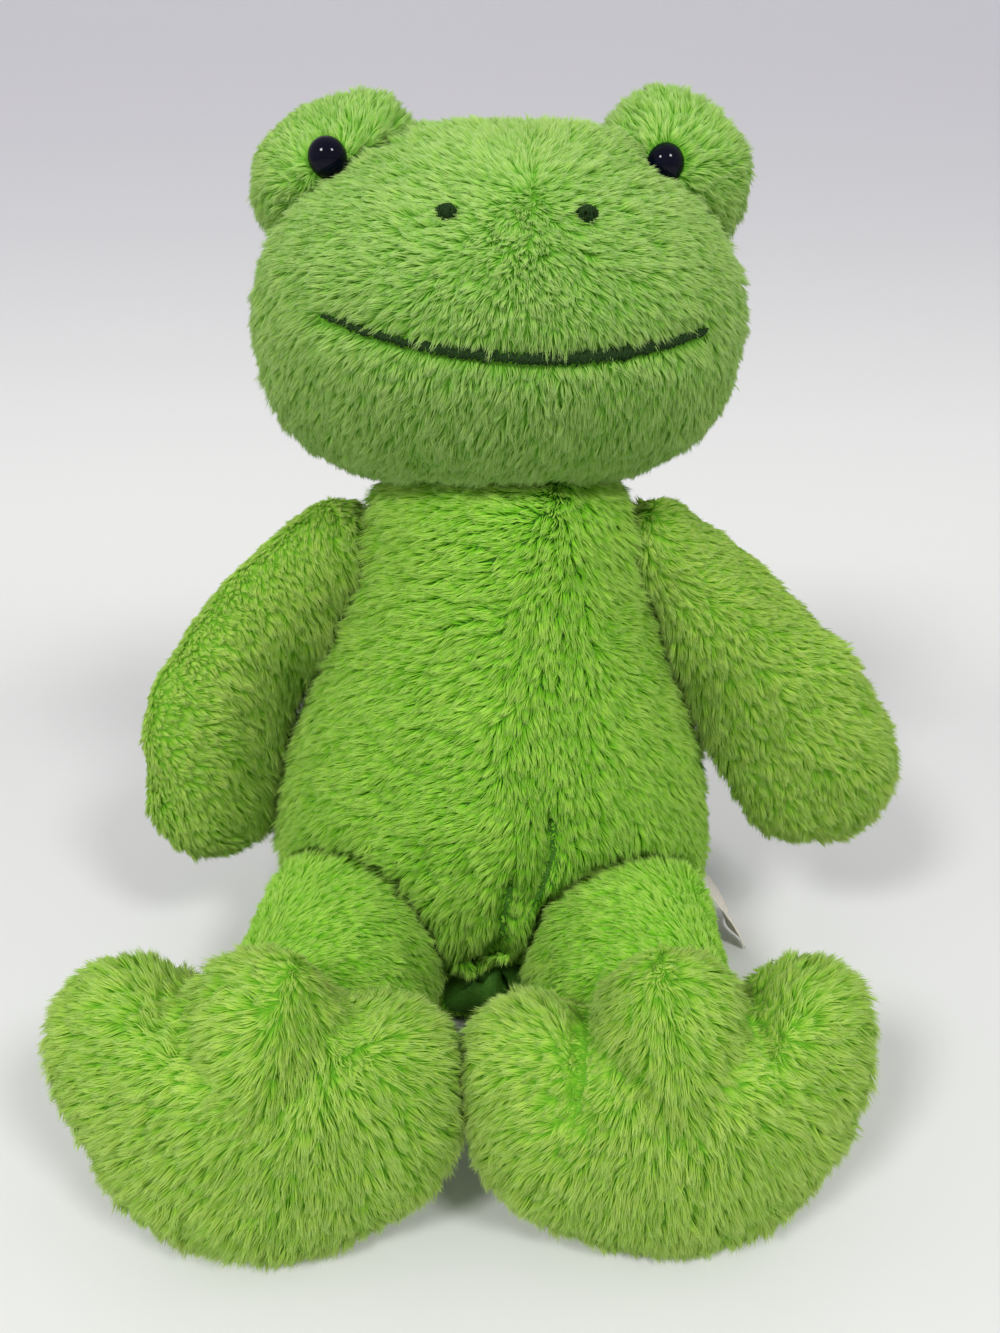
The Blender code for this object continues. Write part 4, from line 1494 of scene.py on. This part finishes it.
def sew_threads(
    node: str, threads: list[tuple[np.ndarray, np.ndarray]], material: bpy.types.Material
) -> None:
    """Makes one piece of many closed threads, in place of a packed embroidery on the head.

    Args:
        node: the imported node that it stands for.
        threads: each thread's path and its radii.
        material: the thread's finish.
    """
    points: list[np.ndarray] = []
    faces: list[tuple[int, ...]] = []
    total = 0
    for path, radii in threads:
        net, sides = tube_net(path, radii)
        faces += [tuple(total + k for k in side) for side in sides]
        points.append(net)
        total += len(net)
    mesh = bpy.data.meshes.new(node + "_stitches")
    mesh.from_pydata(np.concatenate(points).tolist(), [], faces)
    shape = bmesh.new()
    shape.from_mesh(mesh)
    bmesh.ops.recalc_face_normals(shape, faces=shape.faces)
    shape.to_mesh(mesh)
    shape.free()
    mesh.shade_smooth()
    mesh.materials.append(material)
    made = add_object(node + "_stitches", mesh)
    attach(made, "head")
    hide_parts(node)
    log.info("%s: %d threads", made.name, len(threads))


@dataclass
class Mouth:
    """The thread line across the muzzle, laid as slanted satin stitches.

    Heights are half the stitches' heights, by how far along the line they lie.
    """

    node: str = "mouth_embroidery"
    seed: int = SEED + 31
    pitch: float = 0.00055
    heights: tuple[tuple[float, float], ...] = (
        (0.0, 0.0006), (0.12, 0.0009), (0.3, 0.0012), (0.52, 0.0016), (0.66, 0.0018),
        (0.85, 0.0014), (1.0, 0.0009),
    )
    thread: float = 0.00034
    slant: float = 0.0010
    proud: float = 0.0014
    valley: tuple[float, float] = (0.0020, 0.006)
    samples: int = 160
    inset: float = 0.001
    blur: float = 0.003
    ahead: float = -0.2
    near: float = 0.002
    stitch_points: int = 6
    tall_spread: float = 0.2
    lean_spread: float = 0.3
    thread_spread: float = 0.1
    arch: tuple[float, float] = (0.4, 1.8)
    line: np.ndarray = field(default_factory=no_points)

    def trace(self, skin: Skin) -> None:
        """Reads the line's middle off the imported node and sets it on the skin.

        Args:
            skin: the head's skin.
        """
        points = node_points(self.node)
        low, high = points[:, 0].min(), points[:, 0].max()
        places = np.linspace(low + self.inset, high - self.inset, self.samples)
        weight = np.exp(-(((places[:, None] - points[None, :, 0]) / self.blur) ** 2))
        middle = weight @ points / weight.sum(1, keepdims=True)
        middle[:, 0] = places
        tree = skin.tree()
        settled = []
        for x, y, z in middle:
            found = tree.ray_cast(Vector((x, self.ahead, z)), Vector((0, 1, 0)))[0]
            settled.append(found if found is not None else Vector((x, y, z)))
        self.line = np.array(settled)

    def along(self, steps: np.ndarray, far: float) -> np.ndarray:
        """The place so far along the line, whose points lie at the steps."""
        return np.array([np.interp(far, steps, self.line[:, axis]) for axis in range(3)])

    def build(self, skin: Skin, material: bpy.types.Material) -> None:
        """Lays the stitches.

        Args:
            skin: the head's skin.
            material: the thread's finish.
        """
        rng = np.random.default_rng(self.seed)
        tree = skin.tree()
        gaps = np.linalg.norm(np.diff(self.line, axis=0), axis=1)
        steps = np.concatenate([[0.0], np.cumsum(gaps)])
        count = int(steps[-1] / self.pitch)
        threads = []
        for k in range(count + 1):
            far = steps[-1] * k / count
            place = self.along(steps, far)
            way = unit(self.along(steps, far + self.near) - self.along(steps, far - self.near))
            out = np.array(tree.find_nearest(Vector(place))[1])
            rise = unit(np.cross(out, way))
            height = np.interp(k / count, *zip(*self.heights))
            tall = height * (1.0 + self.tall_spread * rng.normal())
            lean = self.slant * (1.0 + self.lean_spread * rng.normal())
            path = []
            for step in np.linspace(-1.0, 1.0, self.stitch_points):
                arch = self.thread * (self.arch[0] + self.arch[1] * (1.0 - step * step))
                sewn = place + rise * tall * step + way * lean * step
                path.append(sewn + out * (arch + self.proud))
            radius = self.thread * (1.0 + self.thread_spread * rng.normal())
            threads.append((np.array(path), np.full(self.stitch_points, radius)))
        sew_threads(self.node, threads, material)


@dataclass
class Nostril:
    """A small oval of satin stitch."""

    side: Side
    seed: int = SEED + 41
    rows: int = 13
    thread: float = 0.00045
    reach_mm: tuple[float, float] = (3.1, 2.7)
    proud: float = 0.0016
    ragged: float = 0.0002
    width_spread: float = 0.12
    least_width: float = 0.05
    dome: tuple[float, float, float] = (1.1, 0.5, 0.6)
    row_points: int = 7
    clear_levels: tuple[float, ...] = (0.0012, 0.0030)
    clear_across: tuple[float, ...] = (-0.6, -0.3, 0.0, 0.3, 0.6)
    clear_down: tuple[float, ...] = (-0.35, 0.35)
    middle: np.ndarray = field(default_factory=no_points)

    @property
    def node(self) -> str:
        """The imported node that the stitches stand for."""
        return self.side.label + "_nostril_embroidery"

    def build(self, material: bpy.types.Material) -> None:
        """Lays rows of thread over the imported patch's own oval.

        Args:
            material: the thread's finish.
        """
        rng = np.random.default_rng(self.seed + self.side.value)
        points = node_points(self.node)
        centre = points.mean(0)
        spread = points - centre
        long_way, short_way, out = np.linalg.svd(spread, full_matrices=False)[2]
        if out[1] > 0:
            out = -out
        reach, half = (size / 1000.0 for size in self.reach_mm)
        proud = np.abs(spread @ out).max() + self.proud
        spots = [
            centre + out * level + long_way * reach * u + short_way * half * v
            for level in self.clear_levels
            for u in self.clear_across
            for v in self.clear_down
        ]
        self.middle = np.array(spots)
        high, fall, sink = self.dome
        threads = []
        for k in range(self.rows):
            share = (2 * k + 1) / self.rows - 1
            width = half * math.sqrt(max(self.least_width, 1 - share * share))
            width *= 1 + self.width_spread * rng.normal()
            path = []
            for step in np.linspace(-1.0, 1.0, self.row_points):
                level = proud * (high * (1 - step * step) * (1 - fall * share * share) - sink)
                along = long_way * (reach * share + self.ragged * rng.normal())
                path.append(centre + along + short_way * width * step + out * level)
            threads.append((np.array(path), np.full(self.row_points, self.thread)))
        sew_threads(self.node, threads, material)


@dataclass
class Eye:
    """A gloss safety eye: a high dome with a rolled rim, on a shank."""

    side: Side
    steps: int = 24
    around: int = 72
    splay_deg: float = 5.0
    turn_deg: float = 5.5
    tilt_deg: float = 6.0
    rim: float = 0.0004
    rim_share: float = 0.98
    rim_steps: int = 6
    shank_radius: float = 0.002
    shank_bevel: float = 0.0003
    sharp_deg: float = 50.0
    sight_reach: tuple[float, float] = (0.001, 0.012)
    sight_points: int = 7
    centre: np.ndarray = field(default_factory=lambda: np.zeros(3))
    facing: np.ndarray = field(default_factory=lambda: np.zeros(3))
    radius: float = 0.0
    height: float = 0.0
    shank: float = 0.0

    @property
    def node(self) -> str:
        """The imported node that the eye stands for."""
        return self.side.label + "_eye"

    def trace(self) -> None:
        """Reads the dome's base, way, radius and height and the shank's length off the node."""
        turn = math.radians(self.turn_deg + self.side.value * self.splay_deg)
        aim = Matrix.Rotation(turn, 3, "Z")
        aim = aim @ Matrix.Rotation(math.radians(-self.tilt_deg), 3, "X")
        self.facing = np.array(aim @ Vector((0, -1, 0)))
        points = node_points(self.node)
        top = points[np.argmax(points @ self.facing)]
        beyond = (points - top) @ self.facing
        off = np.linalg.norm(points - top - beyond[:, None] * self.facing, axis=1)
        self.radius = float(off.max())
        base = beyond[off > self.rim_share * self.radius].mean()
        self.centre = top + self.facing * base
        self.height = float(-base)
        self.shank = float(-beyond.min()) - self.height

    def sight(self) -> np.ndarray:
        """Points straight out from the eye, which the pile keeps clear of."""
        far = np.linspace(*self.sight_reach, self.sight_points)
        return self.centre + self.facing * far[:, None]

    def profile(self) -> list[tuple[float, float]]:
        """Draws half the eye's section, from the dome's top round to the shank's end.

        Returns:
            Each point's radius and level above the dome's base.
        """
        points = [(0.0, self.height)]
        for k in range(1, self.steps + 1):
            turn = math.pi / 2 * (1 - k / self.steps)
            points.append((self.radius * math.cos(turn), self.height * math.sin(turn)))
        for k in range(1, self.rim_steps + 1):
            turn = math.pi / 2 * k / self.rim_steps
            inward = self.rim * (1 - math.cos(turn))
            points.append((self.radius - inward, -self.rim * math.sin(turn)))
        points.append((self.shank_radius, -self.rim))
        points.append((self.shank_radius, self.shank_bevel - self.shank))
        points.append((self.shank_radius - self.shank_bevel, -self.shank))
        points.append((0.0, -self.shank))
        return points

    def build(self, material: bpy.types.Material) -> None:
        """Turns the eye's profile about its own way out.

        Args:
            material: the eye's finish.
        """
        mesh = bpy.data.meshes.new(self.node)
        shape = bmesh.new()
        verts = [shape.verts.new((radius, 0.0, level)) for radius, level in self.profile()]
        edges = [shape.edges.new(pair) for pair in zip(verts, verts[1:])]
        bmesh.ops.spin(
            shape, geom=verts + edges, cent=(0, 0, 0), axis=(0, 0, 1),
            angle=2 * math.pi, steps=self.around, use_merge=True,
        )
        bmesh.ops.remove_doubles(shape, verts=shape.verts, dist=MERGE)
        bmesh.ops.recalc_face_normals(shape, faces=shape.faces)
        shape.to_mesh(mesh)
        shape.free()
        mesh.shade_smooth()
        mesh.set_sharp_from_angle(angle=math.radians(self.sharp_deg))
        made = add_object(self.node + "_dome", mesh)
        made.data.materials.append(material)
        made.matrix_world = Matrix.Translation(Vector(self.centre)) @ (
            Vector(self.facing).to_track_quat("Z", "Y").to_matrix().to_4x4()
        )
        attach(made, "head")
        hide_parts(self.node)
        log.info("%s: radius %.2f mm", made.name, 1000 * self.radius)


@dataclass
class CareLabel:
    """A blank satin strip sewn into the left side seam, which falls to the floor."""

    width: float = 0.030
    length: float = 0.041
    thickness: float = 0.00035
    rows: int = 40
    columns: int = 24
    inset: tuple[float, float] = (0.0004, 0.0008)
    blur: float = 0.004
    roll: float = 0.0016
    roll_phase: float = 0.6
    curl: float = 0.0008
    curl_turn: float = 5.0

    def build(self, material: bpy.types.Material) -> None:
        """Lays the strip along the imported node, with a soft roll at its free corners.

        Args:
            material: the satin's finish.
        """
        points = node_points("care_label")
        top, low = points[:, 2].max(), points[:, 2].min()
        places = np.linspace(top - self.inset[0], low + self.inset[1], self.rows)
        weight = np.exp(-(((places[:, None] - points[None, :, 2]) / self.blur) ** 2))
        across = weight @ points[:, 0] / weight.sum(1)
        first, last = points[:, 1].min(), points[:, 1].max()
        grid, faces = [], []
        for k in range(self.rows):
            share = k / (self.rows - 1)
            for c in range(self.columns):
                edge = c / (self.columns - 1)
                roll = self.roll * share * math.sin(2 * math.pi * edge + self.roll_phase)
                roll += self.curl * share * share * math.cos(self.curl_turn * edge)
                grid.append((across[k] + roll, first + (last - first) * edge, places[k]))
        for k in range(self.rows - 1):
            for c in range(self.columns - 1):
                a = k * self.columns + c
                faces.append((a, a + 1, a + 1 + self.columns, a + self.columns))
        mesh = bpy.data.meshes.new("care_label_satin")
        mesh.from_pydata(grid, [], faces)
        mesh.shade_smooth()
        made = add_object("care_label_satin", mesh)
        made.data.materials.append(material)
        cloth = made.modifiers.new("satin", "SOLIDIFY")
        cloth.thickness = self.thickness
        cloth.offset = 0.0
        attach(made, "torso")
        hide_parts("care_label")
        log.info("%s: %.0f by %.0f mm", made.name, 1000 * self.width, 1000 * self.length)


# Sub-assemblies


@dataclass
class Torso:
    """The pear-shaped body with its belly seams, drawn in deep where the legs meet."""

    seams: list[Shaping] = field(
        default_factory=lambda: [
            Shaping(((551, 822), (554, 850), (546, 880), (534, 906)), 0.0045, 0.0034, 0.5),
            Shaping(((510, 885), (503, 925), (496, 960)), 0.0045, 0.0034, 0.5),
        ]
    )
    crotch: Shaping = field(
        default_factory=lambda: Shaping(((464, 992), (490, 984), (520, 988)), 0.0200, 0.0105, 0.4)
    )
    seam_clear: tuple[float, float] = (0.0007, 0.0011)
    # The pile stays off the crotch line, so the torso's darker backing shows there as painted shade
    crotch_clear: tuple[float, float] = (0.0090, 0.0020)
    neck: tuple[Place, float] = ((0.0, 0.004, 0.243), 0.034)
    seed: int = SEED + 100
    skin: Skin | None = None

    def build(self, backing: bpy.types.Material) -> None:
        """Makes the skin in its backing's finish."""
        self.skin = Skin("torso", "torso", [*self.seams, self.crotch])
        self.skin.build(backing)

    def dress(self, pile: bpy.types.Material, neighbours: list[Skin]) -> None:
        """Grows the pile.

        Args:
            pile: its finish.
            neighbours: skins that lie close to this one.
        """
        clear = [KeepClear(seam.curtain(), *self.seam_clear) for seam in self.seams]
        clear.append(KeepClear(self.crotch.points, *self.crotch_clear))
        hidden = [self.neck]
        Pile(self.skin, TORSO_NAP, self.seed, clear, hidden, neighbours=neighbours).grow(pile)
        self.skin.finish()


@dataclass
class Limb:
    """An arm, leg or foot: one skin with its pile, in the tone of a finish."""

    name: str
    nap: Nap
    shaping: list[Shaping] = field(default_factory=list)
    seams: list[Shaping] = field(default_factory=list)
    hidden: list[tuple[Place, float]] = field(default_factory=list)
    tone: str = "limb_pile"
    by_torso: bool = True
    seam_clear: tuple[float, float] = (0.0004, 0.0006)
    skin: Skin | None = None

    def build(self, backing: bpy.types.Material) -> None:
        """Makes the skin in its backing's finish."""
        self.skin = Skin(self.name, self.name, self.shaping + self.seams)
        self.skin.build(backing)

    def dress(self, pile: bpy.types.Material, seed: int, neighbours: list[Skin]) -> None:
        """Grows the pile.

        Args:
            pile: its finish.
            seed: which chance.
            neighbours: skins that lie close to this one.
        """
        clear = [KeepClear(seam.curtain(), *self.seam_clear) for seam in self.seams]
        Pile(self.skin, self.nap, seed, clear, self.hidden, neighbours=neighbours).grow(pile)
        self.skin.finish()


def limbs() -> list[Limb]:
    """Describes the arms, legs and feet with their lines.

    Returns:
        The limbs, in the order that they are built in.
    """
    return [
        Limb(
            "left_arm", LEFT_ARM_NAP,
            [
                Shaping(((700, 650), (716, 690), (738, 745), (768, 800)), -0.0080, 0.016),
                Shaping(((835, 682), (862, 735)), -0.0070, 0.018),
                Shaping(((712, 532), (755, 572), (785, 612)), 0.0035, 0.014),
            ],
        ),
        Limb(
            "right_arm", RIGHT_ARM_NAP,
            [
                Shaping(((162, 700), (158, 730)), -0.0040, 0.014),
                Shaping(((322, 640), (312, 700), (302, 760)), -0.0040, 0.012),
                Shaping(((158, 795), (164, 812)), 0.0030, 0.012),
            ],
        ),
        Limb("left_leg", LEFT_LEG_NAP, tone="pile"),
        Limb("right_leg", RIGHT_LEG_NAP, tone="pile"),
        Limb(
            "left_foot", LEFT_FOOT_NAP,
            [
                Shaping(((494, 1010), (488, 1060)), -0.0045, 0.014),
                Shaping(((506, 1150), (520, 1170)), -0.0055, 0.018),
                Shaping(((835, 1150), (825, 1175)), 0.0020, 0.012),
                Shaping(((748, 985), (757, 1020), (768, 1060)), 0.0045, 0.005, 0.7),
            ],
            seams=[
                Shaping(((583, 985), (587, 1030), (584, 1075), (578, 1112)), 0.0045, 0.0045, 0.5)
            ],
            hidden=[((0.045, -0.104, 0.0345), 0.037)],
            by_torso=False,
        ),
        Limb(
            "right_foot", RIGHT_FOOT_NAP,
            [
                Shaping(((62, 1030), (70, 1080)), -0.0020, 0.014),
                Shaping(((448, 1030), (448, 1060)), -0.0020, 0.012),
                Shaping(((425, 1140), (405, 1170)), -0.0050, 0.018),
                Shaping(((140, 1195), (200, 1225), (280, 1240)), -0.0025, 0.012),
            ],
            hidden=[((-0.0605, -0.104, 0.0345), 0.037)],
            by_torso=False,
        ),
    ]


@dataclass
class Head:
    """The head with its two eye mounds, eyes, nostrils and mouth.

    Each room says how far off strands grow and how far off they end, and the share of strays.
    """

    shaping: list[Shaping] = field(
        default_factory=lambda: [
            Shaping(((300, 455), (345, 476)), -0.0040, 0.018),
            Shaping(((585, 145), (608, 150)), -0.0040, 0.012),
        ]
    )
    mound_shaping: dict[Side, list[Shaping]] = field(
        default_factory=lambda: {
            Side.LEFT: [
                Shaping(((630, 138), (655, 110)), -0.0060, 0.014),
                Shaping(((715, 135), (735, 160)), -0.0025, 0.012),
            ],
            Side.RIGHT: [
                Shaping(((285, 140), (320, 115)), 0.0035, 0.012),
                Shaping(((275, 165), (272, 215)), -0.0045, 0.014),
                Shaping(((380, 120), (397, 135)), -0.0055, 0.012),
            ],
        }
    )
    mouth_room: tuple[float, float, float] = (0.0016, 0.0019, 0.05)
    nostril_room: tuple[float, float, float] = (0.0012, 0.0010, 0.22)
    eye_overlap: float = 0.0004
    eye_strays: float = 0.02
    seed: int = SEED + 200
    mound_seed: int = SEED + 210
    skin: Skin | None = None
    mounds: dict[Side, Skin] = field(default_factory=dict)
    eyes: dict[Side, Eye] = field(default_factory=dict)
    nostrils: dict[Side, Nostril] = field(default_factory=dict)
    mouth: Mouth = field(default_factory=Mouth)

    def build(self, backing: bpy.types.Material) -> None:
        """Makes the skins.

        Args:
            backing: their finish.
        """
        self.skin = Skin("head", "head", self.shaping)
        self.skin.build(backing)
        for side in Side:
            self.mounds[side] = Skin(side.label + "_eye_mound", "head", self.mound_shaping[side])
            self.mounds[side].build(backing)

    def stitch(self, finishes: dict[str, bpy.types.Material]) -> None:
        """Draws the mouth in and adds the sewn-on pieces.

        Args:
            finishes: the finishes by name.
        """
        self.mouth.trace(self.skin)
        self.skin.draw_in(self.mouth.line, *self.mouth.valley)
        self.mouth.trace(self.skin)
        self.mouth.build(self.skin, finishes["thread"])
        for side in Side:
            eye = self.eyes[side] = Eye(side)
            eye.trace()
            eye.build(finishes["eye"])
            self.nostrils[side] = Nostril(side)
            self.nostrils[side].build(finishes["thread"])

    def dress(self, pile: bpy.types.Material) -> None:
        """Grows the pile clear of the eyes, nostrils and mouth.

        Args:
            pile: its finish.
        """
        clear = [KeepClear(self.mouth.line, *self.mouth_room)]
        clear += [KeepClear(n.middle, *self.nostril_room) for n in self.nostrils.values()]
        clear += [KeepClear(eye.sight(), 0.0, eye.radius) for eye in self.eyes.values()]
        hidden, buried = [JOINT_BALLS[0]], list(self.mounds.values())
        Pile(self.skin, HEAD_NAP, self.seed, clear, hidden, buried).grow(pile)
        self.skin.finish()
        for side, mound in self.mounds.items():
            eye = self.eyes[side]
            bare = eye.radius - self.eye_overlap
            clear = [KeepClear(eye.sight(), bare, eye.radius, self.eye_strays)]
            seed = self.mound_seed + side.value
            Pile(mound, MOUND_NAPS[side], seed, clear, buried=[self.skin]).grow(pile)
            mound.finish()


@dataclass(frozen=True)
class Lamp:
    """A round soft lamp that looks at the object's middle."""

    name: str
    place: Place
    power: float
    size: float = 0.41
    target: Place = (0.0, 0.0, 0.14)

    def build(self) -> None:
        """Makes the lamp."""
        data = bpy.data.lights.new(self.name, "AREA")
        data.shape = "DISK"
        data.size = self.size
        data.energy = self.power
        lamp = add_object(self.name, data)
        lamp.location = self.place
        aim = Vector(self.target) - Vector(self.place)
        lamp.rotation_euler = aim.to_track_quat("-Z", "Y").to_euler()


@dataclass
class Studio:
    """A pale paper sweep, two soft lamps from above and an even surround."""

    half_width: float = 3.0
    front: float = -3.0
    bend_start: float = 0.30
    bend_radius: float = 0.35
    bend_steps: int = 16
    height: float = 3.0
    world: float = 0.55
    lamps: tuple[Lamp, ...] = (
        Lamp("left_lamp", (-0.85, -1.45, 1.36), 22.4),
        Lamp("right_lamp", (0.88, -1.36, 1.43), 17.5),
    )

    def build(self, paper: bpy.types.Material) -> None:
        """Makes the sweep, the lamps and the surround.

        Args:
            paper: the sweep's finish.
        """
        profile = [(self.front, 0.0), (self.bend_start, 0.0)]
        for k in range(1, self.bend_steps + 1):
            turn = math.pi / 2 * k / self.bend_steps
            back = self.bend_start + self.bend_radius * math.sin(turn)
            profile.append((back, self.bend_radius * (1 - math.cos(turn))))
        profile.append((self.bend_start + self.bend_radius, self.height))
        points = [(x, y, z) for y, z in profile for x in (-self.half_width, self.half_width)]
        faces = [(2 * k, 2 * k + 1, 2 * k + 3, 2 * k + 2) for k in range(len(profile) - 1)]
        mesh = bpy.data.meshes.new("sweep")
        mesh.from_pydata(points, [], faces)
        mesh.shade_smooth()
        mesh.materials.append(paper)
        sweep = add_object("sweep", mesh)
        for lamp in self.lamps:
            lamp.build()
        world = bpy.data.worlds.new("surround")
        world.use_nodes = True
        surround = {"Color": (1.0, 1.0, 1.0, 1.0), "Strength": self.world}
        Wiring(world.node_tree).fill(world.node_tree.nodes["Background"], surround)
        bpy.context.scene.world = world
        bpy.context.scene.view_settings.view_transform = "Standard"
        log.info("studio built")


FINISHES = {
    "backing": GrainFinish("plush_backing", (0.09, 0.29, 0.009), (0.13, 0.37, 0.013), 900.0),
    # The torso's backing is darker than the rest: painted shade where it shows bare between the
    # legs
    "seat": GrainFinish("plush_seat_backing", (0.03, 0.11, 0.005), (0.05, 0.16, 0.01), 900.0),
    "pile": PileFinish("plush_pile"),
    "head_pile": PileFinish(
        "plush_head_pile", (0.13, 0.37, 0.03), (0.22, 0.47, 0.06), (0.38, 0.59, 0.13),
        (0.54, 0.72, 0.32),
    ),
    "limb_pile": PileFinish(
        "plush_limb_pile", (0.13, 0.37, 0.015), (0.22, 0.46, 0.035), (0.40, 0.59, 0.09),
        (0.56, 0.73, 0.25),
    ),
    "thread": GrainFinish(
        "stitching_thread", (0.004, 0.016, 0.003), (0.019, 0.050, 0.009), 2500.0, specular=0.15
    ),
    "eye": GrainFinish(
        "gloss_eye", (0.001, 0.001, 0.006), (0.002, 0.002, 0.010), 300.0,
        relief=0.000002, roughness=0.05, specular=0.14,
    ),
    "satin": GrainFinish(
        "satin_ribbon", (0.62, 0.56, 0.47), (0.78, 0.72, 0.62), 1500.0, (1.0, 0.15, 1.0),
        relief=0.00005, roughness=0.38, specular=0.5,
    ),
    "nylon": GrainFinish(
        "washer_nylon", (0.72, 0.72, 0.70), (0.82, 0.82, 0.80), 600.0, relief=0.00002,
        roughness=0.45,
    ),
    "paper": PaperFinish(),
}


def main() -> None:
    """Builds and dresses each part in order."""
    logging.basicConfig(level=logging.INFO, format="%(name)s: %(message)s")
    VIEW.build()
    finishes = {name: finish.build() for name, finish in FINISHES.items()}
    Studio().build(finishes["paper"])
    torso = Torso()
    head = Head()
    members = limbs()
    # The torso's skin takes the darker backing, painted shade in the hollow between the legs
    torso.build(finishes["seat"])
    head.build(finishes["backing"])
    for limb in members:
        limb.build(finishes["backing"])
    skins = [torso.skin, head.skin, *head.mounds.values()] + [limb.skin for limb in members]
    Plumping().run(skins)
    for skin in skins:
        skin.sew()
    head.stitch(finishes)
    CareLabel().build(finishes["satin"])
    torso.dress(finishes["pile"], [limb.skin for limb in members if limb.name.endswith("arm")])
    head.dress(finishes["head_pile"])
    for k, limb in enumerate(members):
        near = [torso.skin] if limb.by_torso else []
        limb.dress(finishes[limb.tone], LIMB_SEED + LIMB_SEED_STEP * k, near)
    for side in Side:
        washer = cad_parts[side.label + "_eye_washer"]
        washer.data.materials.clear()
        washer.data.materials.append(finishes["nylon"])


if __name__ == "__main__":
    main()
